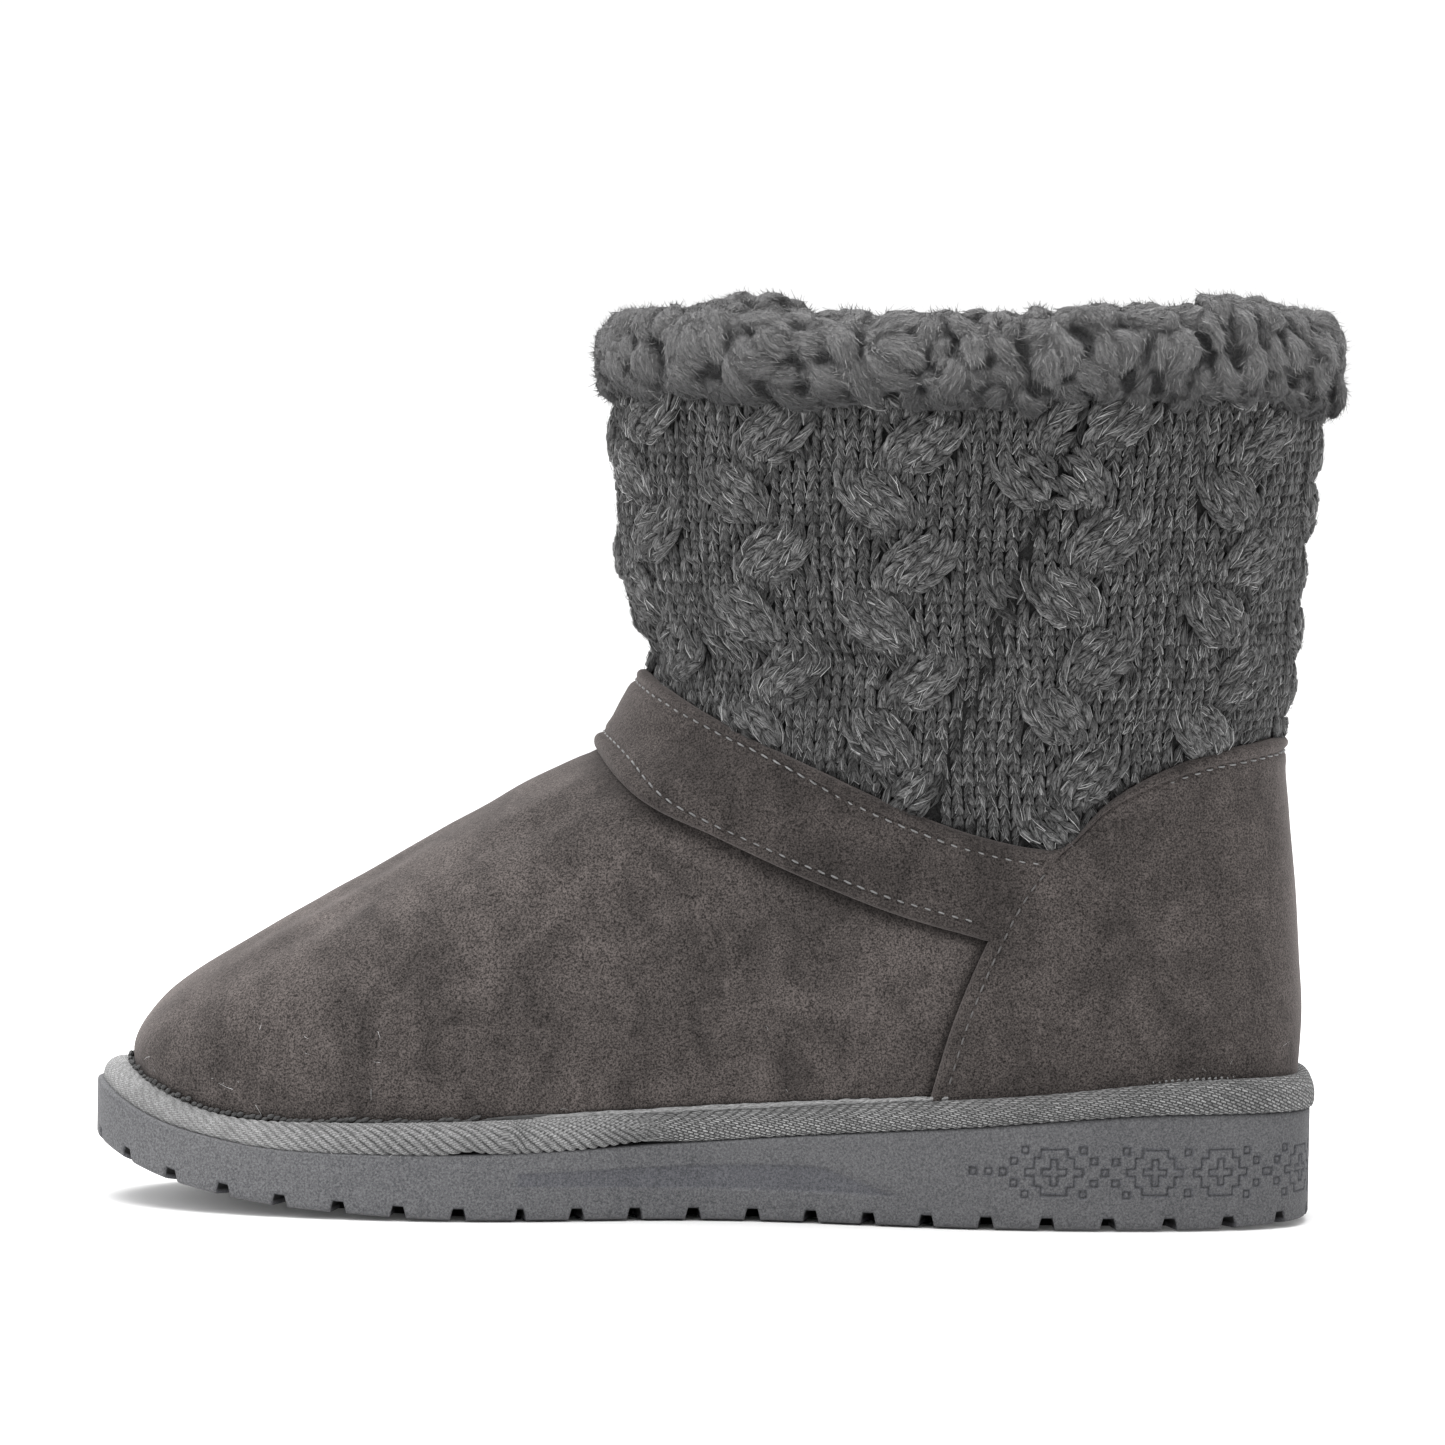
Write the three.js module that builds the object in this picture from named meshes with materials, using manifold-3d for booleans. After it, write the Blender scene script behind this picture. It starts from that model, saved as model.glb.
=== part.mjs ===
// A right winter boot: a short pull-on boot with a suede foot, a cable knit shaft and a deep pile cuff.
// Millimetres. +Z is up, the toe points along -X, and the medial side (the big toe's) faces -Y.
// The origin is on the floor, under the middle of the boot's box.
import * as THREE from 'three';
import { mergeVertices } from 'three/addons/utils/BufferGeometryUtils.js';
import Module from 'manifold-3d';

const wasm = await Module();
wasm.setup();

// Driving sizes
const SEAM_GAP = 0.3;             // clearance between neighbouring pieces
const FOOT_WALL = 5.5;            // suede with its pile lining
const SHAFT_WALL = 8;             // knit with its deep pile lining
const OVERLAY_THICKNESS = 1.1;    // strap and heel counter
const INSOLE_THICKNESS = 5;
const CUFF_BOTTOM = 186;          // the knit ends here, under the cuff
const COLUMNS = 72;               // steps round the boot
const FOOT_ROWS = 10;
const ROW_CROWDING = 1.4;         // the foot's rows lie closer together low down, where the toe bends
const EDGE_STEPS = 10;            // steps along the edge of a panel
const PRISM_REACH = 100;
const PRISM_TOP = 150;

// Waist of the foot, where the plan outline pulls in
const WAIST = { x: 5, spread: 45, lateralShare: 0.55 };

// Level sections through the outer face of foot and shaft, from the sole up.
// nose and tail are the powers of the oval's front and back parts, taper narrows the heel,
// waist pulls the middle in, and swing is the toe's move to the medial side.
const SECTION_COLUMNS = [
  'height', 'front', 'back', 'widest', 'medial', 'lateral', 'nose', 'tail', 'taper', 'waist', 'swing',
];
const SECTIONS = [
  [19, -133, 131.5, -50, 45, 44, 2.25, 3.4, 0.15, 0.22, -7],
  [34, -134.3, 132.9, -50, 47, 46, 2.25, 3.4, 0.15, 0.2, -7],
  [46, -127.4, 133.4, -48, 48, 47, 2.2, 3.3, 0.15, 0.16, -6.5],
  [60, -107.5, 132.5, -40, 46, 45.5, 2.15, 3.1, 0.13, 0.12, -5.5],
  [75, -82, 131.5, -22, 42.5, 43, 2.05, 2.8, 0.1, 0.08, -4],
  [94, -49, 129.6, 8, 40, 41, 1.95, 2.5, 0.05, 0.03, -2],
  [106, -28.3, 128.4, 32, 40.5, 41.5, 1.95, 2.35, 0.02, 0, -0.5],
  [116, -21.9, 129.5, 46, 43, 43.5, 2.05, 2.2, 0, 0, 0],
  [127, -16.2, 131.4, 55, 46, 46, 2.1, 2.1, 0, 0, 0],
  [133, -20.5, 131.4, 55, 48, 48, 2.1, 2.1, 0, 0, 0],
  [142, -23, 132, 55, 50, 50, 2.1, 2.1, 0, 0, 0],
  [160, -25.2, 133.8, 55, 52, 52, 2.1, 2.1, 0, 0, 0],
  [182, -26.7, 136.4, 55.5, 54, 54, 2.1, 2.1, 0, 0, 0],
  [208, -27, 137.5, 56, 54.5, 54.5, 2.1, 2.1, 0, 0, 0],
].map((row) => Object.fromEntries(row.map((value, k) => [SECTION_COLUMNS[k], value])));

// Plan outline of the outsole, in the same terms
const SOLE_PLAN = {
  front: -142.6, back: 137, widest: -47, medial: 51.5, lateral: 51,
  nose: 2.1, tail: 4, taper: 0.13, waist: 0.27, swing: -7,
};

// Lines seen from the side: height z at length x
const SOLE_BOTTOM = [
  { x: -142.6, z: 14.2 }, { x: -130, z: 8.7 }, { x: -105, z: 3.1 }, { x: -79, z: 0.9 },
  { x: -52, z: 0 }, { x: 108, z: 0 }, { x: 137, z: 1.2 },
];
const SOLE_TOP = [
  { x: -142.6, z: 27.6 }, { x: -134, z: 22.9 }, { x: -109, z: 16.3 }, { x: -79, z: 14.8 },
  { x: -52, z: 15.1 }, { x: -2, z: 18 }, { x: 55, z: 22.6 }, { x: 110, z: 26.4 }, { x: 137, z: 26.4 },
];
const FEATHER_LINE = [
  { x: -139, z: 35 }, { x: -131, z: 29.6 }, { x: -117, z: 23.5 }, { x: -85, z: 21 }, { x: -52, z: 22 },
  { x: 11, z: 25.8 }, { x: 70, z: 29.9 }, { x: 110, z: 33.4 }, { x: 133, z: 33.6 },
];
const SHAFT_SEAM = [
  { x: -20, z: 124.5 }, { x: 0, z: 113.5 }, { x: 20, z: 104.5 }, { x: 40, z: 95.5 }, { x: 60, z: 88.5 },
  { x: 76, z: 85.8 }, { x: 90, z: 97.4 }, { x: 108, z: 106.5 }, { x: 129, z: 111 },
];
const STRAP_LOWER_EDGE = [
  { x: -29, z: 105.2 }, { x: -20, z: 97.3 }, { x: 0, z: 87.4 }, { x: 20, z: 78.5 },
  { x: 40, z: 71 }, { x: 62, z: 65 },
];
// The heel counter's front edge: length x at height z
const COUNTER_FRONT = [
  { z: 28.6, x: 49.5 }, { z: 48, x: 55.1 }, { z: 63, x: 61.2 }, { z: 79, x: 70.1 }, { z: 86, x: 76.5 },
];

// Edge of the platform under the foot: step in from the outsole's outline, and share of its thickness
const PLATFORM_EDGE = [
  { out: -2.5, share: 0 }, { out: -0.5, share: 0.2 }, { out: 0.3, share: 0.5 },
  { out: -0.8, share: 0.85 }, { out: -3, share: 1 },
];
const OUTSOLE_EDGE = [
  { out: -1.2, share: 0 }, { out: 0, share: 0.12 }, { out: 0, share: 0.6 }, { out: -0.8, share: 1 },
];

// Section of the pile cuff, anticlockwise: step out from the shaft's face, and height
const CUFF_SECTION = [
  { out: -7, height: 186.5 }, { out: 0.6, height: 186.5 }, { out: 1.2, height: 184 }, { out: 5, height: 185 },
  { out: 6.4, height: 193 }, { out: 5, height: 204 }, { out: -1.5, height: 210.5 },
  { out: -7.5, height: 207.5 }, { out: -9.5, height: 197 },
];

// Tread: notches round the edge and bars across the middle
const NOTCH = { count: 48, phase: 0.73, ceiling: 2.4, mouth: 3.8, height: 2.5, depth: 10, clear: 2 };
const TREAD_BARS = { width: 4, height: 2.5, edge: 17, places: [-96, -78, -60, -22, -4, 62, 80, 118] };

// Smooth value of one column of a table at a place along another column
function smooth(table, along, wanted, place) {
  const last = table.length - 1;
  const at = THREE.MathUtils.clamp(place, table[0][along], table[last][along]);
  let k = 0;
  while (k < last - 1 && at > table[k + 1][along]) k += 1;
  const step = (i) => table[i + 1][along] - table[i][along];
  const rise = (i) => (table[i + 1][wanted] - table[i][wanted]) / step(i);
  const slope = (i) => {
    if (i === 0) return rise(0);
    if (i === last) return rise(last - 1);
    if (rise(i - 1) * rise(i) <= 0) return 0;
    return (step(i) * rise(i - 1) + step(i - 1) * rise(i)) / (step(i - 1) + step(i));
  };
  const u = (at - table[k][along]) / step(k);
  const bend = u * u * (3 - 2 * u);
  return table[k][wanted] * (1 - bend) + table[k + 1][wanted] * bend
    + step(k) * u * (1 - u) * (slope(k) * (1 - u) - slope(k + 1) * u);
}

function sectionAt(height) {
  const section = {};
  for (const column of SECTION_COLUMNS) {
    section[column] = smooth(SECTIONS, 'height', column, height);
  }
  return section;
}

// Point of a plan outline. turn runs from 0 at the toe over the medial side to 0.5 at the heel, and back.
function planPoint(section, turn) {
  const along = Math.cos(2 * Math.PI * turn);
  const across = Math.sin(2 * Math.PI * turn);
  const forward = along > 0;
  const length = forward ? section.widest - section.front : section.back - section.widest;
  const power = forward ? section.nose : section.tail;
  const reach = Math.abs(along) ** (2 / power);
  const x = section.widest - Math.sign(along) * length * reach;
  const pinch = section.waist * Math.exp(-(((x - WAIST.x) / WAIST.spread) ** 2));
  const narrow = forward ? 1 : 1 - section.taper * reach;
  const half = across > 0
    ? section.medial * (1 - pinch)
    : section.lateral * (1 - pinch * WAIST.lateralShare);
  const side = half * narrow * Math.abs(across) ** (2 / power);
  const swing = forward ? section.swing * reach * reach : 0;
  return new THREE.Vector2(x, swing - Math.sign(across) * side);
}

// Point of the boot's face, moved out along its own normal
function facePoint(turn, height, out) {
  const place = (t, h) => {
    const p = planPoint(sectionAt(h), t);
    return new THREE.Vector3(p.x, p.y, h);
  };
  const point = place(turn, height);
  if (out === 0) return point;
  const round = place(turn + 0.002, height).sub(place(turn - 0.002, height));
  const up = place(turn, height + 0.5).sub(place(turn, height - 0.5));
  return point.addScaledVector(round.cross(up).normalize(), out);
}

// Point of the outsole's outline, moved out in plan
function solePoint(turn, out) {
  const p = planPoint(SOLE_PLAN, turn);
  const ahead = planPoint(SOLE_PLAN, turn + 0.002).sub(planPoint(SOLE_PLAN, turn - 0.002)).normalize();
  return new THREE.Vector2(p.x + ahead.y * out, p.y - ahead.x * out);
}

// Where test changes from below zero to above it
function solve(low, high, test) {
  let a = low;
  let b = high;
  for (let i = 0; i < 24; i += 1) {
    const middle = (a + b) / 2;
    if (test(middle) < 0) a = middle;
    else b = middle;
  }
  return (a + b) / 2;
}

// Height at which the boot's face crosses a line seen from the side
function heightOnLine(turn, line) {
  return solve(19, 140, (h) => h - smooth(line, 'x', 'z', planPoint(sectionAt(h), turn).x));
}

function geometryOf(positions, index) {
  const geometry = new THREE.BufferGeometry();
  geometry.setAttribute('position', new THREE.Float32BufferAttribute(positions, 3));
  geometry.setIndex(index);
  return geometry;
}

function quad(index, a, b, c, d) {
  index.push(a, b, c, a, c, d);
}

// A wall with an outer and an inner face. place(u, v, outer) gives its points: u goes round, v goes up.
function wall(columns, rows, closed, place) {
  const positions = [];
  const index = [];
  const count = closed ? columns : columns + 1;
  for (const outer of [true, false]) {
    for (let i = 0; i < count; i += 1) {
      for (let j = 0; j <= rows; j += 1) positions.push(...place(i / columns, j / rows, outer).toArray());
    }
  }
  const at = (i, j) => (i % count) * (rows + 1) + j;
  const inner = count * (rows + 1);
  for (let i = 0; i < columns; i += 1) {
    for (let j = 0; j < rows; j += 1) {
      quad(index, at(i, j), at(i + 1, j), at(i + 1, j + 1), at(i, j + 1));
      quad(index, inner + at(i, j), inner + at(i, j + 1), inner + at(i + 1, j + 1), inner + at(i + 1, j));
    }
    quad(index, at(i, 0), inner + at(i, 0), inner + at(i + 1, 0), at(i + 1, 0));
    quad(index, at(i, rows), at(i + 1, rows), inner + at(i + 1, rows), inner + at(i, rows));
  }
  if (!closed) {
    for (let j = 0; j < rows; j += 1) {
      quad(index, at(0, j), at(0, j + 1), inner + at(0, j + 1), inner + at(0, j));
      quad(index, at(columns, j), inner + at(columns, j), inner + at(columns, j + 1), at(columns, j + 1));
    }
  }
  return geometryOf(positions, index);
}

// A solid stacked from rings, closed below and above by strips from side to side
function slab(layers) {
  const positions = [];
  const index = [];
  for (const layer of layers) {
    for (let i = 0; i < COLUMNS; i += 1) positions.push(...layer(i / COLUMNS).toArray());
  }
  for (let k = 0; k < layers.length - 1; k += 1) {
    for (let i = 0; i < COLUMNS; i += 1) {
      const next = (i + 1) % COLUMNS;
      const low = k * COLUMNS;
      const high = low + COLUMNS;
      quad(index, low + i, low + next, high + next, high + i);
    }
  }
  const top = (layers.length - 1) * COLUMNS;
  for (let i = 0; i < COLUMNS / 2; i += 1) {
    const a = i;
    const b = i + 1;
    const c = COLUMNS - 1 - i;
    const d = (COLUMNS - i) % COLUMNS;
    if (a !== d) {
      index.push(a, d, b);
      index.push(top + a, top + b, top + d);
    }
    if (b !== c) {
      index.push(b, d, c);
      index.push(top + b, top + c, top + d);
    }
  }
  return geometryOf(positions, index);
}

function edgeLayers(edge, bottom, top) {
  return edge.map(({ out, share }) => (turn) => {
    const p = solePoint(turn, out);
    const low = bottom(p.x);
    return new THREE.Vector3(p.x, p.y, low + share * (top(p.x) - low));
  });
}

function solidOf(geometry) {
  const bare = geometry.clone();
  bare.deleteAttribute('normal');
  bare.deleteAttribute('uv');
  const merged = mergeVertices(bare);
  return new wasm.Manifold(new wasm.Mesh({
    numProp: 3,
    vertProperties: new Float32Array(merged.attributes.position.array),
    triVerts: new Uint32Array(merged.index.array),
  }));
}

function geometryFrom(solid) {
  const mesh = solid.getMesh();
  return geometryOf(Array.from(mesh.vertProperties), Array.from(mesh.triVerts));
}

const soleBottom = (x) => smooth(SOLE_BOTTOM, 'x', 'z', x);
const soleTop = (x) => smooth(SOLE_TOP, 'x', 'z', x);
const featherLine = (x) => smooth(FEATHER_LINE, 'x', 'z', x);

// Turns at equal steps along the outsole's edge
function evenTurns(count, phase) {
  const samples = 1440;
  const lengths = [0];
  for (let i = 1; i <= samples; i += 1) {
    lengths.push(lengths[i - 1] + solePoint(i / samples, 0).distanceTo(solePoint((i - 1) / samples, 0)));
  }
  const whole = lengths[samples];
  return Array.from({ length: count }, (_, k) => {
    const wanted = ((k + phase) / count) * whole;
    const after = lengths.findIndex((length) => length > wanted);
    const share = (wanted - lengths[after - 1]) / (lengths[after] - lengths[after - 1]);
    return (after - 1 + share) / samples;
  });
}

// Wedge that cuts one notch, from inside the edge outwards
function notchCutter(turn) {
  const inside = solePoint(turn, -NOTCH.depth);
  const outward = solePoint(turn, 1).sub(solePoint(turn, 0)).normalize();
  const floor = soleBottom(solePoint(turn, 0).x);
  const flare = (NOTCH.mouth - NOTCH.ceiling) / 2 / NOTCH.height;
  const shape = new THREE.Shape();
  const low = -NOTCH.clear;
  shape.moveTo(-NOTCH.mouth / 2 + flare * low, low);
  shape.lineTo(NOTCH.mouth / 2 - flare * low, low);
  shape.lineTo(NOTCH.ceiling / 2, NOTCH.height);
  shape.lineTo(-NOTCH.ceiling / 2, NOTCH.height);
  const cutter = new THREE.ExtrudeGeometry(shape, { depth: NOTCH.depth + NOTCH.clear, bevelEnabled: false });
  const basis = new THREE.Matrix4().makeBasis(
    new THREE.Vector3(-outward.y, outward.x, 0),
    new THREE.Vector3(0, 0, 1),
    new THREE.Vector3(outward.x, outward.y, 0),
  );
  basis.setPosition(inside.x, inside.y, floor);
  return cutter.applyMatrix4(basis);
}

// Bar across the middle of the tread, following the toe spring
function barCutter(x) {
  const halves = [-1, 1].map((side) => {
    const turn = solve(0, 0.5, (t) => solePoint(side < 0 ? t : 1 - t, 0).x - x);
    return Math.abs(solePoint(side < 0 ? turn : 1 - turn, 0).y) - TREAD_BARS.edge;
  });
  const box = new THREE.BoxGeometry(TREAD_BARS.width, halves[0] + halves[1], 2 * TREAD_BARS.height);
  const slope = Math.atan2(soleBottom(x + 1) - soleBottom(x - 1), 2);
  return box.rotateY(-slope).translate(x, (halves[1] - halves[0]) / 2, soleBottom(x));
}

function outsole() {
  let solid = solidOf(slab(edgeLayers(OUTSOLE_EDGE, soleBottom, soleTop)));
  for (const turn of evenTurns(NOTCH.count, NOTCH.phase)) solid = solid.subtract(solidOf(notchCutter(turn)));
  for (const x of TREAD_BARS.places) solid = solid.subtract(solidOf(barCutter(x)));
  return geometryFrom(solid);
}

function platform() {
  return slab(edgeLayers(PLATFORM_EDGE, (x) => soleTop(x) + SEAM_GAP, (x) => featherLine(x) - SEAM_GAP));
}

function insole() {
  const layer = (rise, out) => (turn) => {
    const height = heightOnLine(turn, FEATHER_LINE) + rise;
    return facePoint(turn, height, out);
  };
  const edge = -FOOT_WALL - 2 * SEAM_GAP;
  return slab([layer(0, edge), layer(INSOLE_THICKNESS * 0.7, edge), layer(INSOLE_THICKNESS, edge - 1.5)]);
}

// Wall that follows the foot from the feather line to the knit's seam
function footWall(rise, inner, outer) {
  return wall(COLUMNS, FOOT_ROWS, true, (turn, share, outside) => {
    const low = heightOnLine(turn, FEATHER_LINE) + rise;
    const high = heightOnLine(turn, SHAFT_SEAM);
    return facePoint(turn, low + share ** ROW_CROWDING * (high - low), outside ? outer : inner);
  });
}

function upper() {
  return footWall(0, -FOOT_WALL, 0);
}

function knitShaft() {
  return wall(COLUMNS, 5, true, (turn, share, outer) => {
    const low = heightOnLine(turn, SHAFT_SEAM) + 2 * SEAM_GAP;
    return facePoint(turn, low + share * (CUFF_BOTTOM - low), outer ? 0 : -SHAFT_WALL);
  });
}

function furCuff() {
  const positions = [];
  const index = [];
  const points = CUFF_SECTION.length;
  for (let i = 0; i < COLUMNS; i += 1) {
    for (const { out, height } of CUFF_SECTION) {
      positions.push(...facePoint(i / COLUMNS, height, out).toArray());
    }
  }
  const at = (i, j) => (i % COLUMNS) * points + (j % points);
  for (let i = 0; i < COLUMNS; i += 1) {
    for (let j = 0; j < points; j += 1) quad(index, at(i, j), at(i + 1, j), at(i + 1, j + 1), at(i, j + 1));
  }
  return geometryOf(positions, index);
}

// Panels that stand proud of the foot, before they are cut to their outlines
function overlay() {
  return footWall(SEAM_GAP, SEAM_GAP, SEAM_GAP + OVERLAY_THICKNESS);
}

// Prism across the whole boot with a panel's outline as seen from the side
function sidePrism(outline) {
  const shape = new THREE.Shape(outline.map(([x, z]) => new THREE.Vector2(x, z)));
  const prism = new THREE.ExtrudeGeometry(shape, { depth: 2 * PRISM_REACH, bevelEnabled: false });
  return prism.rotateX(Math.PI / 2).translate(0, PRISM_REACH, 0);
}

function counterFront(shift) {
  const heights = Array.from({ length: EDGE_STEPS + 1 }, (_, k) => {
    return THREE.MathUtils.lerp(COUNTER_FRONT[0].z, COUNTER_FRONT.at(-1).z, k / EDGE_STEPS);
  });
  const edge = heights.map((z) => [smooth(COUNTER_FRONT, 'z', 'x', z) + shift, z]);
  return [[edge[0][0], 0], ...edge, [edge.at(-1)[0], PRISM_TOP]];
}

// Saddle strap over the instep, from counter to counter
function strap() {
  const first = STRAP_LOWER_EDGE[0];
  const last = STRAP_LOWER_EDGE.at(-1);
  const lower = Array.from({ length: EDGE_STEPS + 1 }, (_, k) => {
    const x = THREE.MathUtils.lerp(first.x, last.x, k / EDGE_STEPS);
    return [x, smooth(STRAP_LOWER_EDGE, 'x', 'z', x)];
  });
  const end = counterFront(-SEAM_GAP).filter(([, z]) => z > last.z);
  const outline = [[-PRISM_REACH, first.z], ...lower, ...end, [-PRISM_REACH, PRISM_TOP]];
  return geometryFrom(solidOf(overlay()).intersect(solidOf(sidePrism(outline))));
}

// Heel counter, from its medial front edge round the heel
function heelCounter() {
  const outline = [...counterFront(0).reverse(), [2 * PRISM_REACH, 0], [2 * PRISM_REACH, PRISM_TOP]];
  return geometryFrom(solidOf(overlay()).intersect(solidOf(sidePrism(outline))));
}

function piece(name, geometry, color, roughness) {
  const mesh = new THREE.Mesh(geometry, new THREE.MeshStandardMaterial({ color, roughness, metalness: 0 }));
  mesh.name = name;
  return mesh;
}

const boot = new THREE.Group();
boot.add(
  piece('outsole', outsole(), 0x6f7276, 0.75),
  piece('platform', platform(), 0xaaa69d, 0.9),
  piece('insole', insole(), 0x5d574f, 1),
  piece('upper', upper(), 0x75695d, 0.95),
  piece('strap', strap(), 0x7a6e62, 0.95),
  piece('heel_counter', heelCounter(), 0x7a6e62, 0.95),
  piece('knit_shaft', knitShaft(), 0x55555a, 0.95),
  piece('fur_cuff', furCuff(), 0x5a534c, 1),
);

export default boot;
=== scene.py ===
"""A right winter boot: suede foot, cable knit shaft, curly pile cuff and a notched rubber sole.

Sizes are in millimetres, in the frame's own axes, and MM turns them into Blender's metres:
+Z is up, the toe points along -X, and the medial side (the big toe's) faces -Y, to the camera.
A place round the boot is a turn: 0 at the toe, 0.25 on the medial side, 0.5 at the heel.
"""
import math

import bpy
import numpy as np
from mathutils import Matrix, Vector
from mathutils.kdtree import KDTree


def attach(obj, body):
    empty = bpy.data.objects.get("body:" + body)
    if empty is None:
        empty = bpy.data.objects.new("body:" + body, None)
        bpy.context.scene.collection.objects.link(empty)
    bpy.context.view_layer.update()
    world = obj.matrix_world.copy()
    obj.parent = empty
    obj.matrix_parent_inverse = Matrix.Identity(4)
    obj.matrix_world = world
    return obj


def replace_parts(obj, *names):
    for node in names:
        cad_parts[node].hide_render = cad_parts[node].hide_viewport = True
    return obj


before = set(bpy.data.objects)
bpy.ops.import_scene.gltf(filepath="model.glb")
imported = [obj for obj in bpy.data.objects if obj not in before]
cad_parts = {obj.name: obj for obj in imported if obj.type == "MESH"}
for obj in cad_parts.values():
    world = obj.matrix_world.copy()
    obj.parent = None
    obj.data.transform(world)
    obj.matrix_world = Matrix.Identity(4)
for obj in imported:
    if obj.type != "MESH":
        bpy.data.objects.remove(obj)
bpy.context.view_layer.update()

MM = 0.001
rng = np.random.default_rng(11)

# Driving sizes
FOOT_WALL = 5.5
SHAFT_WALL = 8.0
OVERLAY = 1.4            # how far strap and heel counter stand out from the foot
KNIT_TOP = 188.0
INSOLE_RISE = 5.0

# Waist of the foot, where the plan outline pulls in
WAIST_X, WAIST_SPREAD, WAIST_LATERAL_SHARE = 5.0, 45.0, 0.55

# Level sections through the outer face of foot and shaft, from the sole up
SECTION_COLUMNS = (
    "height", "front", "back", "widest", "medial", "lateral", "nose", "tail", "taper", "waist", "swing",
)
SECTIONS = np.array([
    [19, -133, 131.5, -50, 45, 44, 2.25, 3.4, 0.15, 0.22, -7],
    [34, -134.3, 132.9, -50, 47, 46, 2.25, 3.4, 0.15, 0.2, -7],
    [46, -127.4, 133.4, -48, 48, 47, 2.2, 3.3, 0.15, 0.16, -6.5],
    [60, -107.5, 132.5, -40, 46, 45.5, 2.15, 3.1, 0.13, 0.12, -5.5],
    [75, -82, 131.5, -22, 42.5, 43, 2.05, 2.8, 0.1, 0.08, -4],
    [94, -49, 129.6, 8, 40, 41, 1.95, 2.5, 0.05, 0.03, -2],
    [106, -28.3, 128.4, 32, 40.5, 41.5, 1.95, 2.35, 0.02, 0, -0.5],
    [116, -21.9, 129.5, 46, 43, 43.5, 2.05, 2.2, 0, 0, 0],
    [127, -16.2, 131.4, 55, 46, 46, 2.1, 2.1, 0, 0, 0],
    [133, -20.5, 131.4, 55, 48, 48, 2.1, 2.1, 0, 0, 0],
    [142, -23, 132, 55, 50, 50, 2.1, 2.1, 0, 0, 0],
    [160, -25.2, 133.8, 55, 52, 52, 2.1, 2.1, 0, 0, 0],
    [182, -26.7, 136.4, 55.5, 54, 54, 2.1, 2.1, 0, 0, 0],
    [208, -27, 137.5, 56, 54.5, 54.5, 2.1, 2.1, 0, 0, 0],
])
SOLE_PLAN = dict(zip(SECTION_COLUMNS[1:], (-142.6, 137, -47, 51.5, 51, 2.1, 4, 0.13, 0.27, -7)))

# Lines seen from the side, as (length x, height z)
SOLE_BOTTOM = [(-142.6, 14.2), (-130, 8.7), (-105, 3.1), (-79, 0.9), (-52, 0), (108, 0), (137, 1.2)]
SOLE_TOP = [
    (-142.6, 27.6), (-134, 22.9), (-109, 16.3), (-79, 14.8), (-52, 15.1), (-2, 18), (55, 22.6),
    (110, 26.4), (137, 26.4),
]
FEATHER_LINE = [
    (-139, 35), (-131, 29.6), (-117, 23.5), (-85, 21), (-52, 22), (11, 25.8), (70, 29.9),
    (110, 33.4), (133, 33.6),
]
SHAFT_SEAM = [
    (-20, 124.5), (0, 113.5), (20, 104.5), (40, 95.5), (60, 88.5), (76, 85.8), (90, 97.4),
    (108, 106.5), (129, 111),
]
STRAP_LOWER_EDGE = [(-29, 105.2), (-20, 97.3), (0, 87.4), (20, 78.5), (40, 71), (62, 65)]
COUNTER_FRONT = [(28.6, 49.5), (48, 55.1), (63, 61.2), (79, 70.1), (86, 76.5)]  # (height z, length x)


# Curves and surfaces

TURN_STEP = 0.002        # small step of turn for directions along an outline


def smooth(table, place):
    """Value of a smooth curve through a table's (place, value) rows."""
    at, value = np.array(table, float).T
    step = np.diff(at)
    rise = np.diff(value) / step
    inner = (step[1:] * rise[:-1] + step[:-1] * rise[1:]) / (step[1:] + step[:-1])
    inner[rise[:-1] * rise[1:] <= 0] = 0
    slope = np.concatenate([rise[:1], inner, rise[-1:]])
    place = np.clip(place, at[0], at[-1])
    k = np.clip(np.searchsorted(at, place, side="right") - 1, 0, len(step) - 1)
    u = (place - at[k]) / step[k]
    bend = u * u * (3 - 2 * u)
    return (value[k] * (1 - bend) + value[k + 1] * bend
            + step[k] * u * (1 - u) * (slope[k] * (1 - u) - slope[k + 1] * u))


def step_up(value):
    """0 below 0, 1 above 1 and a soft step between."""
    value = np.clip(value, 0, 1)
    return value * value * (3 - 2 * value)


def bell(value):
    return np.exp(-value ** 2)


LEVELS = np.linspace(SECTIONS[0, 0], SECTIONS[-1, 0], 2001)
SECTION_AT_LEVEL = {name: smooth(SECTIONS[:, [0, k]], LEVELS) for k, name in enumerate(SECTION_COLUMNS) if k}


def section_at(height):
    return {name: np.interp(height, LEVELS, column) for name, column in SECTION_AT_LEVEL.items()}


def plan_point(section, turn):
    """Point of a plan outline at a turn."""
    along, across = np.cos(2 * np.pi * turn), np.sin(2 * np.pi * turn)
    forward = along > 0
    length = np.where(forward, section["widest"] - section["front"], section["back"] - section["widest"])
    power = np.where(forward, section["nose"], section["tail"])
    reach = np.abs(along) ** (2 / power)
    x = section["widest"] - np.sign(along) * length * reach
    pinch = section["waist"] * bell((x - WAIST_X) / WAIST_SPREAD)
    narrow = np.where(forward, 1, 1 - section["taper"] * reach)
    half = np.where(across > 0, section["medial"] * (1 - pinch),
                    section["lateral"] * (1 - pinch * WAIST_LATERAL_SHARE))
    side = half * narrow * np.abs(across) ** (2 / power)
    swing = np.where(forward, section["swing"] * reach ** 2, 0)
    return x, swing - np.sign(across) * side


def face_place(turn, height):
    x, y = plan_point(section_at(height), turn)
    return np.stack([x, y, height + 0 * x], -1)


def unit(v):
    return v / np.maximum(np.linalg.norm(v, axis=-1, keepdims=True), 1e-9)


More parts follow.
